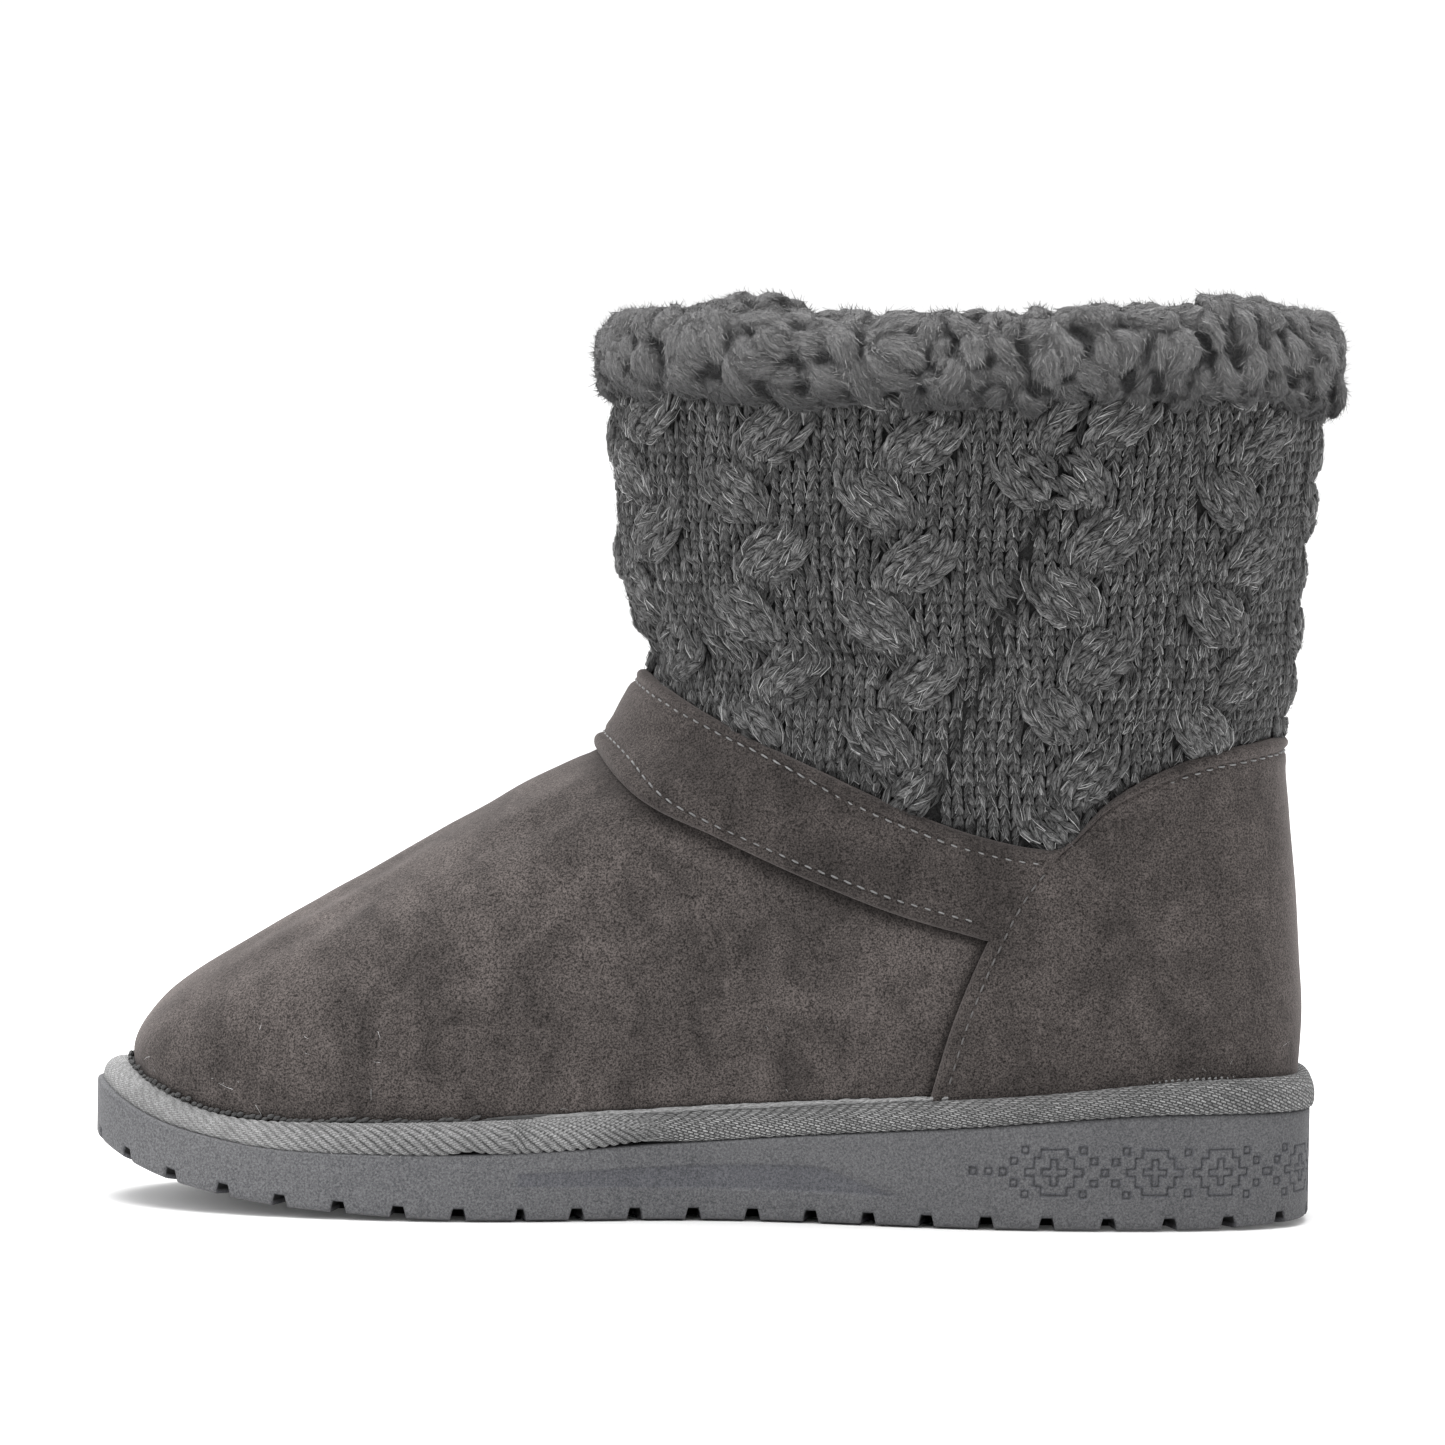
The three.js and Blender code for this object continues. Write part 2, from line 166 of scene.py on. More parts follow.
def face_normal(turn, height):
    round_way = face_place(turn + TURN_STEP, height) - face_place(turn - TURN_STEP, height)
    up = face_place(turn, height + 0.5) - face_place(turn, height - 0.5)
    return unit(np.cross(round_way, up))


def face_point(turn, height, out=0.0):
    """Point of the boot's face, moved out along its normal."""
    turn, height, out = np.broadcast_arrays(turn, height, out)
    return face_place(turn, height) + face_normal(turn, height) * out[..., None]


def sole_point(turn, out=0.0):
    """Point of the outsole's outline, moved out in plan."""
    x, y = plan_point(SOLE_PLAN, turn)
    after, before = [np.stack(plan_point(SOLE_PLAN, turn + step), -1) for step in (TURN_STEP, -TURN_STEP)]
    ahead = unit(after - before)
    return x + ahead[..., 1] * out, y - ahead[..., 0] * out


def height_on_line(turn, line):
    """Height at which the boot's face crosses a line seen from the side."""
    low, high = np.full(np.shape(turn), 19.0), np.full(np.shape(turn), 140.0)
    for _ in range(22):
        middle = (low + high) / 2
        below = middle < smooth(line, plan_point(section_at(middle), turn)[0])
        low, high = np.where(below, middle, low), np.where(below, high, middle)
    return (low + high) / 2


def noise(points, size, seed=0):
    """Smooth random value from -1 to 1 at each point, with lumps of about that size."""
    grid = np.random.default_rng(seed).uniform(-1, 1, (32, 32, 32))
    place = np.asarray(points) / size + 100.0
    cell = np.floor(place).astype(int)
    u = place - cell
    u = u * u * (3 - 2 * u)
    total = 0.0
    for corner in range(8):
        offset = np.array([corner & 1, corner >> 1 & 1, corner >> 2 & 1])
        weight = np.prod(np.where(offset, u, 1 - u), -1)
        x, y, z = np.moveaxis((cell + offset) % 32, -1, 0)
        total = total + weight * grid[x, y, z]
    return total


def lengths_along(places):
    """Length from the first place to each place of a line."""
    return np.concatenate([[0], np.cumsum(np.linalg.norm(np.diff(places, axis=0), axis=-1))])


def even_turns(count, height, start=0.0, end=1.0):
    """Turns at equal steps round the boot's face at a height, between two turns, the last included."""
    turns = np.linspace(start, end, 2001)
    length = lengths_along(face_place(turns, height))
    return np.interp(np.linspace(0, length[-1], count), length, turns)


# Meshes

def mesh_object(name, points, faces, material, uvs=None):
    """A smooth shaded mesh from points in millimetres and faces of equal length."""
    points, faces = np.asarray(points, float).reshape(-1, 3), np.asarray(faces)
    mesh = bpy.data.meshes.new(name)
    mesh.vertices.add(len(points))
    mesh.vertices.foreach_set("co", (points * MM).ravel())
    mesh.loops.add(faces.size)
    mesh.loops.foreach_set("vertex_index", faces.ravel())
    mesh.polygons.add(len(faces))
    mesh.polygons.foreach_set("loop_start", np.arange(len(faces)) * faces.shape[1])
    mesh.polygons.foreach_set("use_smooth", np.ones(len(faces), bool))
    if uvs is not None:
        mesh.uv_layers.new(name="UVMap").data.foreach_set("uv", np.asarray(uvs, float).ravel())
    mesh.update(calc_edges=True)
    mesh.materials.append(material)
    piece = bpy.data.objects.new(name, mesh)
    bpy.context.scene.collection.objects.link(piece)
    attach(piece, "root")
    return piece


def grid_faces(columns, rows, closed=False, ringed=False):
    """Quads of a grid of points[column, row]; closed joins its last column to its first, ringed its rows."""
    wide, high = columns if closed else columns - 1, rows if ringed else rows - 1
    i, j = np.meshgrid(np.arange(wide), np.arange(high), indexing="ij")
    k, n = (i + 1) % columns, (j + 1) % rows
    return np.stack([i * rows + j, k * rows + j, k * rows + n, i * rows + n], -1).reshape(-1, 4)


def grid_uvs(along, across):
    """UVs for grid_faces. On a closed grid along has one more value, and on a ringed one across has."""
    i, j = np.meshgrid(np.arange(len(along) - 1), np.arange(len(across) - 1), indexing="ij")
    u = np.stack([along[i], along[i + 1], along[i + 1], along[i]], -1)
    v = np.stack([across[j], across[j], across[j + 1], across[j + 1]], -1)
    return np.stack([u, v], -1).reshape(-1, 2)


def grid_object(name, points, material, closed=False, uvs=None):
    columns, rows = points.shape[:2]
    return mesh_object(name, points, grid_faces(columns, rows, closed), material, uvs)


def mark(piece, name, values, kind="FLOAT", field="value"):
    """Gives a mesh a number, or with FLOAT_VECTOR a vector, at each point, which its material reads."""
    attribute = piece.data.attributes.new(name, kind, "POINT")
    attribute.data.foreach_set(field, np.ravel(values).astype(np.float32))


def tube_frames(lines, facing):
    """Unit vectors along, beside and above each point of lines[tube, ring], above being near facing."""
    along = unit(np.gradient(lines, axis=1))
    beside = unit(np.cross(along, facing))
    return along, beside, np.cross(beside, along)


def tubes_object(name, lines, radius, facing, sides, material, flat=1.0, ridges=0.0):
    """One mesh of many tubes along lines[tube, ring]. Their ends close where the radius runs out.

    flat squeezes them towards the surface that they lie on, and ridges twists soft strands round them.
    """
    tubes, rings = lines.shape[:2]
    radius = np.broadcast_to(radius, (tubes, rings))
    beside, above = tube_frames(lines, facing)[1:]
    angle = 2 * np.pi * np.arange(sides) / sides
    turned = angle + np.arange(rings)[:, None] * 0.55 + rng.uniform(0, 6, (tubes, 1, 1))
    swell = radius[..., None] * (1 + ridges * np.sin(2 * turned))
    points = (lines[:, :, None] + (swell * np.cos(angle))[..., None] * beside[:, :, None]
              + (swell * flat * np.sin(angle))[..., None] * above[:, :, None])
    one = grid_faces(rings, sides, ringed=True)
    faces = (np.arange(tubes)[:, None, None] * rings * sides + one).reshape(-1, 4)
    length = np.cumsum(np.linalg.norm(np.diff(lines, axis=1, prepend=lines[:, :1]), axis=-1), 1)
    girth = 2 * np.pi * radius.max(1)[:, None] / sides
    start = rng.uniform(0, 900, (tubes, 2))
    ring, side = grid_uvs(np.arange(rings), np.arange(sides + 1)).T
    uvs = np.stack([length[:, ring] + start[:, :1], girth * side + start[:, 1:]], -1)
    return mesh_object(name, points, faces, material, uvs)


def fibres_object(name, lines, width, facing, painted_shade, material):
    """One mesh of many fine fibres, each a narrow ribbon that thins to its tip and has its own tint."""
    count, knots = lines.shape[:2]
    beside = tube_frames(lines, facing)[1]
    thin = np.linspace(1, 0.25, knots)[None, :, None] * width / 2
    points = np.stack([lines - beside * thin, lines + beside * thin], 2)
    one = np.arange(knots - 1)[:, None] * 2 + np.array([0, 1, 3, 2])
    faces = (np.arange(count)[:, None, None] * knots * 2 + one).reshape(-1, 4)
    piece = mesh_object(name, points, faces, material)
    mark(piece, "tint", np.repeat(rng.uniform(0, 1, count), knots * 2))
    # Painted shade given for each fibre
    mark(piece, "painted_shade", np.repeat(painted_shade, knots * 2))


# Materials

class Look:
    """A material and a short way to add nodes to it."""

    def __init__(self, name, roughness, **sockets):
        self.material = bpy.data.materials.new(name)
        self.material.use_nodes = True
        self.nodes, self.links = self.material.node_tree.nodes, self.material.node_tree.links
        self.shader = self.nodes["Principled BSDF"]
        self.shader.inputs["Roughness"].default_value = roughness
        for socket, value in sockets.items():
            self.shader.inputs[socket.replace("_", " ")].default_value = value

    def add(self, kind, inputs=(), **settings):
        node = self.nodes.new("ShaderNode" + kind)
        for name, value in settings.items():
            setattr(node, name, value)
        for name, value in dict(inputs).items():
            if isinstance(value, bpy.types.NodeSocket):
                self.links.new(value, node.inputs[name])
            else:
                node.inputs[name].default_value = value
        return node

    def place(self, stretch=(1, 1, 1), of="Object", turned=(0, 0, 0)):
        return self.mapped(self.add("TexCoord").outputs[of], stretch, turned)

    def mapped(self, source, stretch, turned=(0, 0, 0)):
        return self.add("Mapping", {"Vector": source, "Scale": stretch, "Rotation": turned}).outputs["Vector"]

    def cloud(self, scale, detail=3.0, rough=0.55, place=None, distortion=0.0):
        place = place or self.add("TexCoord").outputs["Object"]
        return self.add("TexNoise", {
            "Vector": place, "Scale": scale, "Detail": detail, "Roughness": rough, "Distortion": distortion,
        }).outputs["Fac"]

    def ramp(self, value, *stops):
        node = self.add("ValToRGB", {"Fac": value})
        band = node.color_ramp.elements
        while len(band) < len(stops):
            band.new(1.0)
        for element, (place, color) in zip(band, stops):
            element.position = place
            element.color = (*color, 1)
        return node.outputs["Color"]

    def mix(self, share, a, b, blend="MIX"):
        """Mixes two colours. The node's sockets are numbered, as its names repeat for each kind of value."""
        node = self.add("Mix", data_type="RGBA", blend_type=blend)
        for socket, value in ((node.inputs[0], share), (node.inputs[6], a), (node.inputs[7], b)):
            if isinstance(value, bpy.types.NodeSocket):
                self.links.new(value, socket)
            else:
                socket.default_value = value if isinstance(value, float) else (*value, 1)
        return node.outputs[2]

    def math(self, operation, a, b=0.0, c=0.0):
        return self.add("Math", {0: a, 1: b, 2: c}, operation=operation).outputs[0]

    def attribute(self, name):
        return self.add("Attribute", attribute_name=name).outputs["Fac"]

    def color(self, *layers):
        """Links the product of colours to the shader."""
        value = layers[0]
        for layer in layers[1:]:
            value = self.mix(1.0, value, layer, "MULTIPLY")
        self.links.new(value, self.shader.inputs["Base Color"])

    def rough(self, value, low, high):
        spread = self.add("MapRange", {"Value": value, "To Min": low, "To Max": high})
        self.links.new(spread.outputs["Result"], self.shader.inputs["Roughness"])

    def bump(self, *layers):
        """Adds up bump layers of (height, depth in millimetres)."""
        normal = None
        for height, depth in layers:
            node = self.add("Bump", {"Height": height, "Distance": depth * MM, "Strength": 1.0})
            if normal:
                self.links.new(normal, node.inputs["Normal"])
            normal = node.outputs["Normal"]
        self.links.new(normal, self.shader.inputs["Normal"])


def grey(value, warm=0.0):
    """A grey with a little more red and less blue where warm is above 0."""
    return (value * (1 + warm), value, value * (1 - warm * 0.35))


def suede(name, tone):
    """Brown-grey brushed suede: soft blotches, a lighter brushed nap and a fine short grain."""
    look = Look(name, 0.95, Sheen_Weight=0.2, Sheen_Roughness=0.5, Sheen_Tint=(0.86, 0.78, 0.76, 1),
                Specular_IOR_Level=0.06)
    dark, light = grey(0.028 * tone, 0.13), grey(0.072 * tone, 0.15)
    blotch = look.cloud(48, 4, 0.62, distortion=0.8)
    brushed = look.cloud(120, 3, 0.6, place=look.place((1.0, 1.0, 0.6)), distortion=0.9)
    grain = look.cloud(2300, 2, 0.75)
    base = look.ramp(blotch, (0.34, dark), (0.68, light))
    base = look.mix(0.42, base, look.ramp(brushed, (0.34, dark), (0.66, light)))
    base = look.mix(1.0, base, look.ramp(grain, (0.36, grey(0.12)), (0.64, grey(0.86))), "OVERLAY")
    # Darkened by painted shade where the mesh marks it
    look.color(base, look.ramp(look.attribute("painted_shade"), (0.0, grey(1.0)), (1.0, grey(0.35))))
    look.bump((look.cloud(900, 3, 0.7), 0.14), (grain, 0.09))
    return look.material


def darker_to_heel(look, least):
    """A tone that falls from 1 before the arch to least at the heel."""
    length = look.add("SeparateXYZ", {"Vector": look.add("TexCoord").outputs["Object"]}).outputs["X"]
    return look.ramp(look.math("MULTIPLY_ADD", length, 4.0, 0.5), (0.2, grey(1.0)), (0.9, grey(least)))


# Painted shade given to the outsole's sunk wedge and its engraved ornament; the insides of its notches are
# given 1, the darkest
WEDGE_SHADE, ENGRAVED_SHADE = 0.3, 0.8


def rubber():
    """Matt grey foam rubber with a fine moulded grain; painted shade makes its engraving and the recess a
    little darker and the insides of its notches nearly black.
    """
    look = Look("rubber_grey", 0.7, Specular_IOR_Level=0.3)
    speck = look.cloud(2100, 3, 0.75)
    patch = look.cloud(40, 3, 0.5)
    base = look.ramp(speck, (0.36, (0.028, 0.0285, 0.032)), (0.64, (0.178, 0.178, 0.184)))
    patches = look.ramp(patch, (0.35, (0.075, 0.076, 0.082)), (0.65, (0.11, 0.11, 0.115)))
    shade = look.ramp(look.attribute("painted_shade"), (0.0, grey(1.0)), (WEDGE_SHADE, (0.85, 0.86, 0.91)),
                      (ENGRAVED_SHADE, grey(0.42)), (1.0, grey(0.06)))
    look.color(look.mix(0.35, base, patches), shade, darker_to_heel(look, 0.8))
    look.rough(speck, 0.6, 0.85)
    look.bump((look.cloud(500, 2, 0.5), 0.06), (speck, 0.09))
    return look.material


# The tape's weave before and behind its join: slope in degrees, length, pitch and gap of the floats in
# millimetres, and the tones of bright floats, dim floats and gaps
WEAVES = ((-22, 1.5, 0.66, 0.12, 0.38, 0.25, 0.12), (24, 1.5, 0.8, 0.22, 0.58, 0.27, 0.025))


def yarn_tape():
    """Grey twill tape in its own UVs in millimetres, with one weave before the join and one behind it."""
    look = Look("tape_grey", 0.8, Sheen_Weight=0.12, Specular_IOR_Level=0.25)
    fibre_streak = look.cloud(4.0, 3, 0.7, place=look.place((0.5, 1.6, 1), of="UV"))
    tint = look.cloud(45, 3, 0.55)
    weaves = []
    for slope, long, pitch, gap, bright, dim, dark in WEAVES:
        weaves.append(look.add("TexBrick", {
            "Vector": look.place((1, 1, 1), of="UV", turned=(0, 0, math.radians(slope))), "Scale": 1.0,
            "Brick Width": long, "Row Height": pitch, "Mortar Size": gap, "Mortar Smooth": 0.5,
            "Color1": (*grey(bright), 1), "Color2": (*grey(dim), 1), "Mortar": (*grey(dark), 1),
        }).outputs)
    behind = look.attribute("behind")
    base = look.mix(behind, weaves[0]["Color"], weaves[1]["Color"])
    base = look.mix(0.25, base, look.ramp(fibre_streak, (0.3, grey(0.15)), (0.72, grey(0.36))))
    base = look.mix(0.5, base, look.ramp(tint, (0.35, grey(0.3)), (0.65, grey(0.7))), "OVERLAY")
    # Darkened by painted shade where the mesh marks it
    shade = look.ramp(look.attribute("painted_shade"), (0.0, grey(1.0)), (1.0, grey(0.25)))
    look.color(base, shade, darker_to_heel(look, 0.64))
    floats = look.mix(behind, weaves[0]["Fac"], weaves[1]["Fac"])
    look.bump((look.math("SUBTRACT", 1.0, floats), 0.16), (fibre_streak, 0.14))
    return look.material


def painted_shade_tone(look):
    """Painted shade: the tone that a mesh's shade mark multiplies the colour by, darkest in hollows and
    crevices.
    """
    return look.ramp(look.attribute("painted_shade"), (0.0, grey(1.0)), (0.4, grey(0.62)), (1.0, grey(0.1)))


def pile(name, dark, light, flow=None):
    """Woolly pile: soft cloudy tone, streaks along the locks, or just bent ones, and a fine haze."""
    look = Look(name, 1.0, Sheen_Weight=0.22, Sheen_Roughness=0.6, Sheen_Tint=(0.9, 0.9, 0.92, 1),
                Specular_IOR_Level=0.04)
    lump = look.cloud(150, 3, 0.6)
    if flow:
        place = look.mapped(look.add("Attribute", attribute_name=flow).outputs["Vector"], (0.16, 1.1, 1.1))
        strand = look.cloud(1.0, 5, 0.8, place=place, distortion=0.7)
    else:
        strand = look.cloud(520, 4, 0.75, place=look.place((1.0, 1.0, 0.45)), distortion=1.6)
    haze = look.cloud(1500, 3, 0.8)
    base = look.ramp(lump, (0.35, dark), (0.68, light))
    base = look.mix(0.75, base, look.ramp(strand, (0.4, dark), (0.6, light)))
    base = look.mix(0.25, base, look.ramp(haze, (0.36, dark), (0.64, light)))
    # Darkened by painted shade where the mesh marks it
    look.color(base, painted_shade_tone(look))
    look.bump((lump, 0.3), (strand, 1.6), (haze, 0.4))
    return look.material


def fibre(name, dark, light):
    """Fine loose fibres, each of its own tint."""
    look = Look(name, 0.9, Sheen_Weight=0.1, Specular_IOR_Level=0.1)
    tint = look.mix(0.4, look.attribute("tint"), look.cloud(1200, 2, 0.6))
    # Darkened by painted shade where the mesh marks it
    look.color(look.ramp(tint, (0.15, dark), (0.85, light)), painted_shade_tone(look))
    look.bump((look.cloud(2500, 2, 0.6), 0.03))
    return look.material


def knit_yarn(name, dark, light):
    """Marled woolly yarn with fine streaks along each stitch, in UVs in millimetres."""
    look = Look(name, 0.95, Sheen_Weight=0.12, Sheen_Roughness=0.5, Specular_IOR_Level=0.06)
    streak = look.cloud(1.0, 3, 0.75, place=look.place((0.4, 1.9, 1), of="UV"), distortion=0.4)
    ply = look.cloud(0.09, 1, 0.5, place=look.add("TexCoord").outputs["UV"])
    haze = look.cloud(1500, 2, 0.7)
    base = look.ramp(streak, (0.42, dark), (0.66, light))
    base = look.mix(0.25, base, look.ramp(haze, (0.4, dark), (0.62, light)))
    base = look.mix(0.6, base, look.ramp(ply, (0.38, grey(0.25)), (0.62, grey(0.75))), "OVERLAY")
    # Darkened by painted shade where the mesh marks it
    look.color(base, painted_shade_tone(look))
    look.bump((streak, 0.4), (haze, 0.12))
    return look.material


def thread(name, dark, light):
    """Sewing thread, a little uneven along its length."""
    look = Look(name, 0.75, Sheen_Weight=0.15, Specular_IOR_Level=0.3)
    streak = look.cloud(1.6, 3, 0.7, place=look.place((0.4, 2.2, 1), of="UV"))
    look.color(look.ramp(streak, (0.35, dark), (0.65, light)))
    look.bump((look.cloud(1500, 2, 0.6), 0.05))
    return look.material


SUEDE = suede("suede_foot", 1.0)
SUEDE_STRAP = suede("suede_strap", 0.7)
SUEDE_COUNTER = suede("suede_counter", 0.82)
RUBBER = rubber()
TAPE = yarn_tape()
PILE = pile("pile_grey", grey(0.03, 0.01), grey(0.2, 0.01), flow="flow")
PILE_FIBRE = fibre("pile_fibre", grey(0.055, 0.01), grey(0.28, 0.01))
LINING = pile("lining_grey", grey(0.04, 0.01), grey(0.11, 0.01))
KNIT = knit_yarn("knit_charcoal", grey(0.004), grey(0.195, 0.005))
# The knit's yarn darkened into painted shade, for the sheet and the bodies under the stitches
KNIT_PAINTED_SHADE = knit_yarn("knit_painted_shade", grey(0.008), grey(0.07))
KNIT_FIBRE = fibre("knit_fibre", grey(0.06), grey(0.5))
TAPE_FIBRE = fibre("tape_fibre", grey(0.22), grey(0.7))
THREAD = thread("thread_grey", grey(0.11), grey(0.22))
THREAD_DARK = thread("thread_dark", grey(0.06, 0.05), grey(0.12, 0.05))
SELVEDGE = thread("selvedge_grey", grey(0.06), grey(0.34))
SELVEDGE_DARK = thread("selvedge_dark", grey(0.012), grey(0.08))


# Outsole

NOTCHES = 48
NOTCH_PHASE = 0.73
NOTCH_MOUTH, NOTCH_CEILING, NOTCH_HEIGHT, NOTCH_DEPTH = 3.8, 2.4, 2.5, 10.0
NOTCH_DRIFT, NOTCH_DRIFT_AT, NOTCH_DRIFT_REACH = 2.4, 100.0, 60.0    # towards the toe, beside the arch
EDGE_HEIGHT = 4.5        # where the notched edge ends and the plain side wall starts

SOLE_TURNS = np.linspace(0, 1, 8001)
SOLE_LENGTHS = lengths_along(np.stack(sole_point(SOLE_TURNS), -1))
SOLE_ROUND = SOLE_LENGTHS[-1]


def sole_turn(length):
    """Turn at a length along the outsole's outline from the toe's tip."""
    return np.interp(np.mod(length, SOLE_ROUND), SOLE_LENGTHS, SOLE_TURNS)


def sole_length(x):
    """Length along the medial outline from the toe's tip at which the outline passes x."""
    half = len(SOLE_TURNS) // 2
    return np.interp(x, plan_point(SOLE_PLAN, SOLE_TURNS[:half])[0], SOLE_LENGTHS[:half])


def sole_edge():
    """The outsole's lower edge with its notches, and the tread just inside them."""
    pitch = SOLE_ROUND / NOTCHES
    mouth, ceiling, rim = NOTCH_MOUTH / 2, NOTCH_CEILING / 2, 0.5
    across = np.array([-mouth, -(mouth + ceiling) / 2, -ceiling, -0.8 * ceiling])
    across = np.concatenate([across, [0], -across[::-1]])
    lug = np.linspace(mouth + rim, pitch - mouth - rim, 9)
    steps = np.concatenate([across, lug])
    length = ((np.arange(NOTCHES) + NOTCH_PHASE)[:, None] * pitch + steps).ravel()
    half = SOLE_ROUND / 2
    drift = bell((np.abs(length - half) - NOTCH_DRIFT_AT) / NOTCH_DRIFT_REACH)
    turn = sole_turn(length + NOTCH_DRIFT * drift * np.sign(length - half))
    raised = np.interp(np.abs(steps), [ceiling, mouth], [NOTCH_HEIGHT, 0]) * (steps < mouth + rim / 2)
    raised = np.tile(raised, NOTCHES)
    rows = [  # step out from the outline, share of the notch kept, height above the lower edge
        (-18, 0, 0), (-NOTCH_DEPTH - 0.3, 0, 0), (-NOTCH_DEPTH, 1, 0), (-5, 1, 0), (-2.2, 1, 0),
        (-0.9, 1, 0.1), (-0.25, 1, 0.5), (0, 1, 1.1),
    ]
    points = []
    for out, kept, rise in rows:
        x, y = sole_point(turn, out)
        points.append(np.stack([x, y, smooth(SOLE_BOTTOM, x) + kept * raised + rise], -1))
    top = points[-1].copy()
    top[:, 2] = smooth(SOLE_BOTTOM, top[:, 0]) + EDGE_HEIGHT
    points += [points[-1] * 0.6 + top * 0.4, top]
    piece = grid_object("outsole_edge", np.stack(points, 1), RUBBER, closed=True)
    inside = np.zeros((len(turn), len(points)))
    # Painted shade, near black, on the rows from the notches' ends to just inside their mouths
    inside[:, 1:6] = np.clip(raised, 0, 1)[:, None]
    mark(piece, "painted_shade", inside)


# Ornament in the side wall: a stepped diamond round a plus, with small squares, at this pitch and height
MOTIF_START_X, MOTIF_PITCH, MOTIF_CLOSE, MOTIF_HEIGHT = 78.0, 23.2, 15.6, 13.2
MOTIF_REACH = 20.0
DIAMOND = [(0, 5.2), (2.95, 5.2), (2.95, 3.3), (4.6, 3.3), (4.6, 0.85), (6.55, 0.85), (6.55, 0)]
PLUS = [(0, 3.02), (0.75, 3.02), (0.75, 0.75), (2.75, 0.75), (2.75, 0)]
SQUARES = [(6.6, 5.0), (9.1, 2.5), (11.6, 0)]
CLOSE_SQUARES = [(7.8, 4.6)]           # the only ones between the second motif and the third
LEAD_SQUARES = [-14.9, -18.4]
SQUARE_HALF = 0.75
GROOVE_HALF, GROOVE_DEPTH = 0.24, 0.4
FINE_COLUMN = 0.36       # spacing of the side wall's columns where it is engraved
HEEL_REACH = 90.0        # length each way round from the heel's tip that has no wedge

# Long wedge sunk into each side under the arch, as (length x, height z) of its top and bottom edges
WEDGE_START, WEDGE_END, WEDGE_DEPTH = -43.5, 45.0, 0.4
WEDGE_TOP = [(-43.5, 11), (18.7, 13.2), (25.5, 12.8), (31.8, 10.7), (38.6, 8.4), (45, 6.4)]
WEDGE_BOTTOM = [(-43.5, 7.5), (-17, 7.1), (17.6, 6.8), (45, 6.4)]


def from_path(u, v, path):
    """Distance from points to a path of straight pieces in the first quadrant."""
    nearest = np.full(np.shape(u), 99.0)
    for (u1, v1), (u2, v2) in zip(path[:-1], path[1:]):
        du, dv = u2 - u1, v2 - v1
        share = np.clip(((u - u1) * du + (v - v1) * dv) / (du * du + dv * dv), 0, 1)
        nearest = np.minimum(nearest, np.hypot(u - u1 - share * du, v - v1 - share * dv))
    return nearest


def from_square(u, v, center_u, center_v):
    """Distance from points to the outline of a small square."""
    return np.abs(np.maximum(np.abs(u - center_u), np.abs(v - center_v)) - SQUARE_HALF)


def motif_places():
    """Lengths round the sole of the motifs' centres, the same on both sides of the heel."""
    first = sole_length(MOTIF_START_X)
    lead = first + np.array([0, MOTIF_PITCH])
    start = lead[1] + MOTIF_CLOSE
    count = round((SOLE_ROUND - 2 * start) / MOTIF_PITCH) + 1
    return np.concatenate([lead, np.linspace(start, SOLE_ROUND - start, count), SOLE_ROUND - lead[::-1]])


def ornament(length, height):
    """Share of full groove depth at a length round the sole and a height, from 0 to 1."""
    places = motif_places()
    k = np.abs(length[..., None] - places).argmin(-1)
    u, v = length - places[k], np.abs(height - MOTIF_HEIGHT)
    nearest = np.minimum(from_path(np.abs(u), v, DIAMOND), from_path(np.abs(u), v, PLUS))
    last = len(places) - 1
    outward = np.where(k < last / 2, u, -u)
    rank = np.minimum(k, last - k)
    close = ((rank == 1) & (outward > 0)) | ((rank == 2) & (outward < 0))
    for squares, where in ((SQUARES, ~close), (CLOSE_SQUARES, close)):
        for center_u, center_v in squares:
            square = from_square(np.abs(u), v, center_u, center_v)
            nearest = np.where(where, np.minimum(nearest, square), nearest)
    for lead in LEAD_SQUARES:
        nearest = np.where(rank == 0, np.minimum(nearest, from_square(outward, v, lead, 0)), nearest)
    # Share of full engraving depth at a length round the sole and a height, from 0 to 1.
    return step_up(1.5 - nearest / GROOVE_HALF)


def wedge(x, height):
    """Share of the sunk wedge's depth at a point of the side wall, from 0 to 1."""
    inside = np.minimum(smooth(WEDGE_TOP, x) - height, height - smooth(WEDGE_BOTTOM, x))
    inside = np.minimum(inside, np.minimum(x - WEDGE_START, WEDGE_END - x))
    return step_up(inside / 0.6)


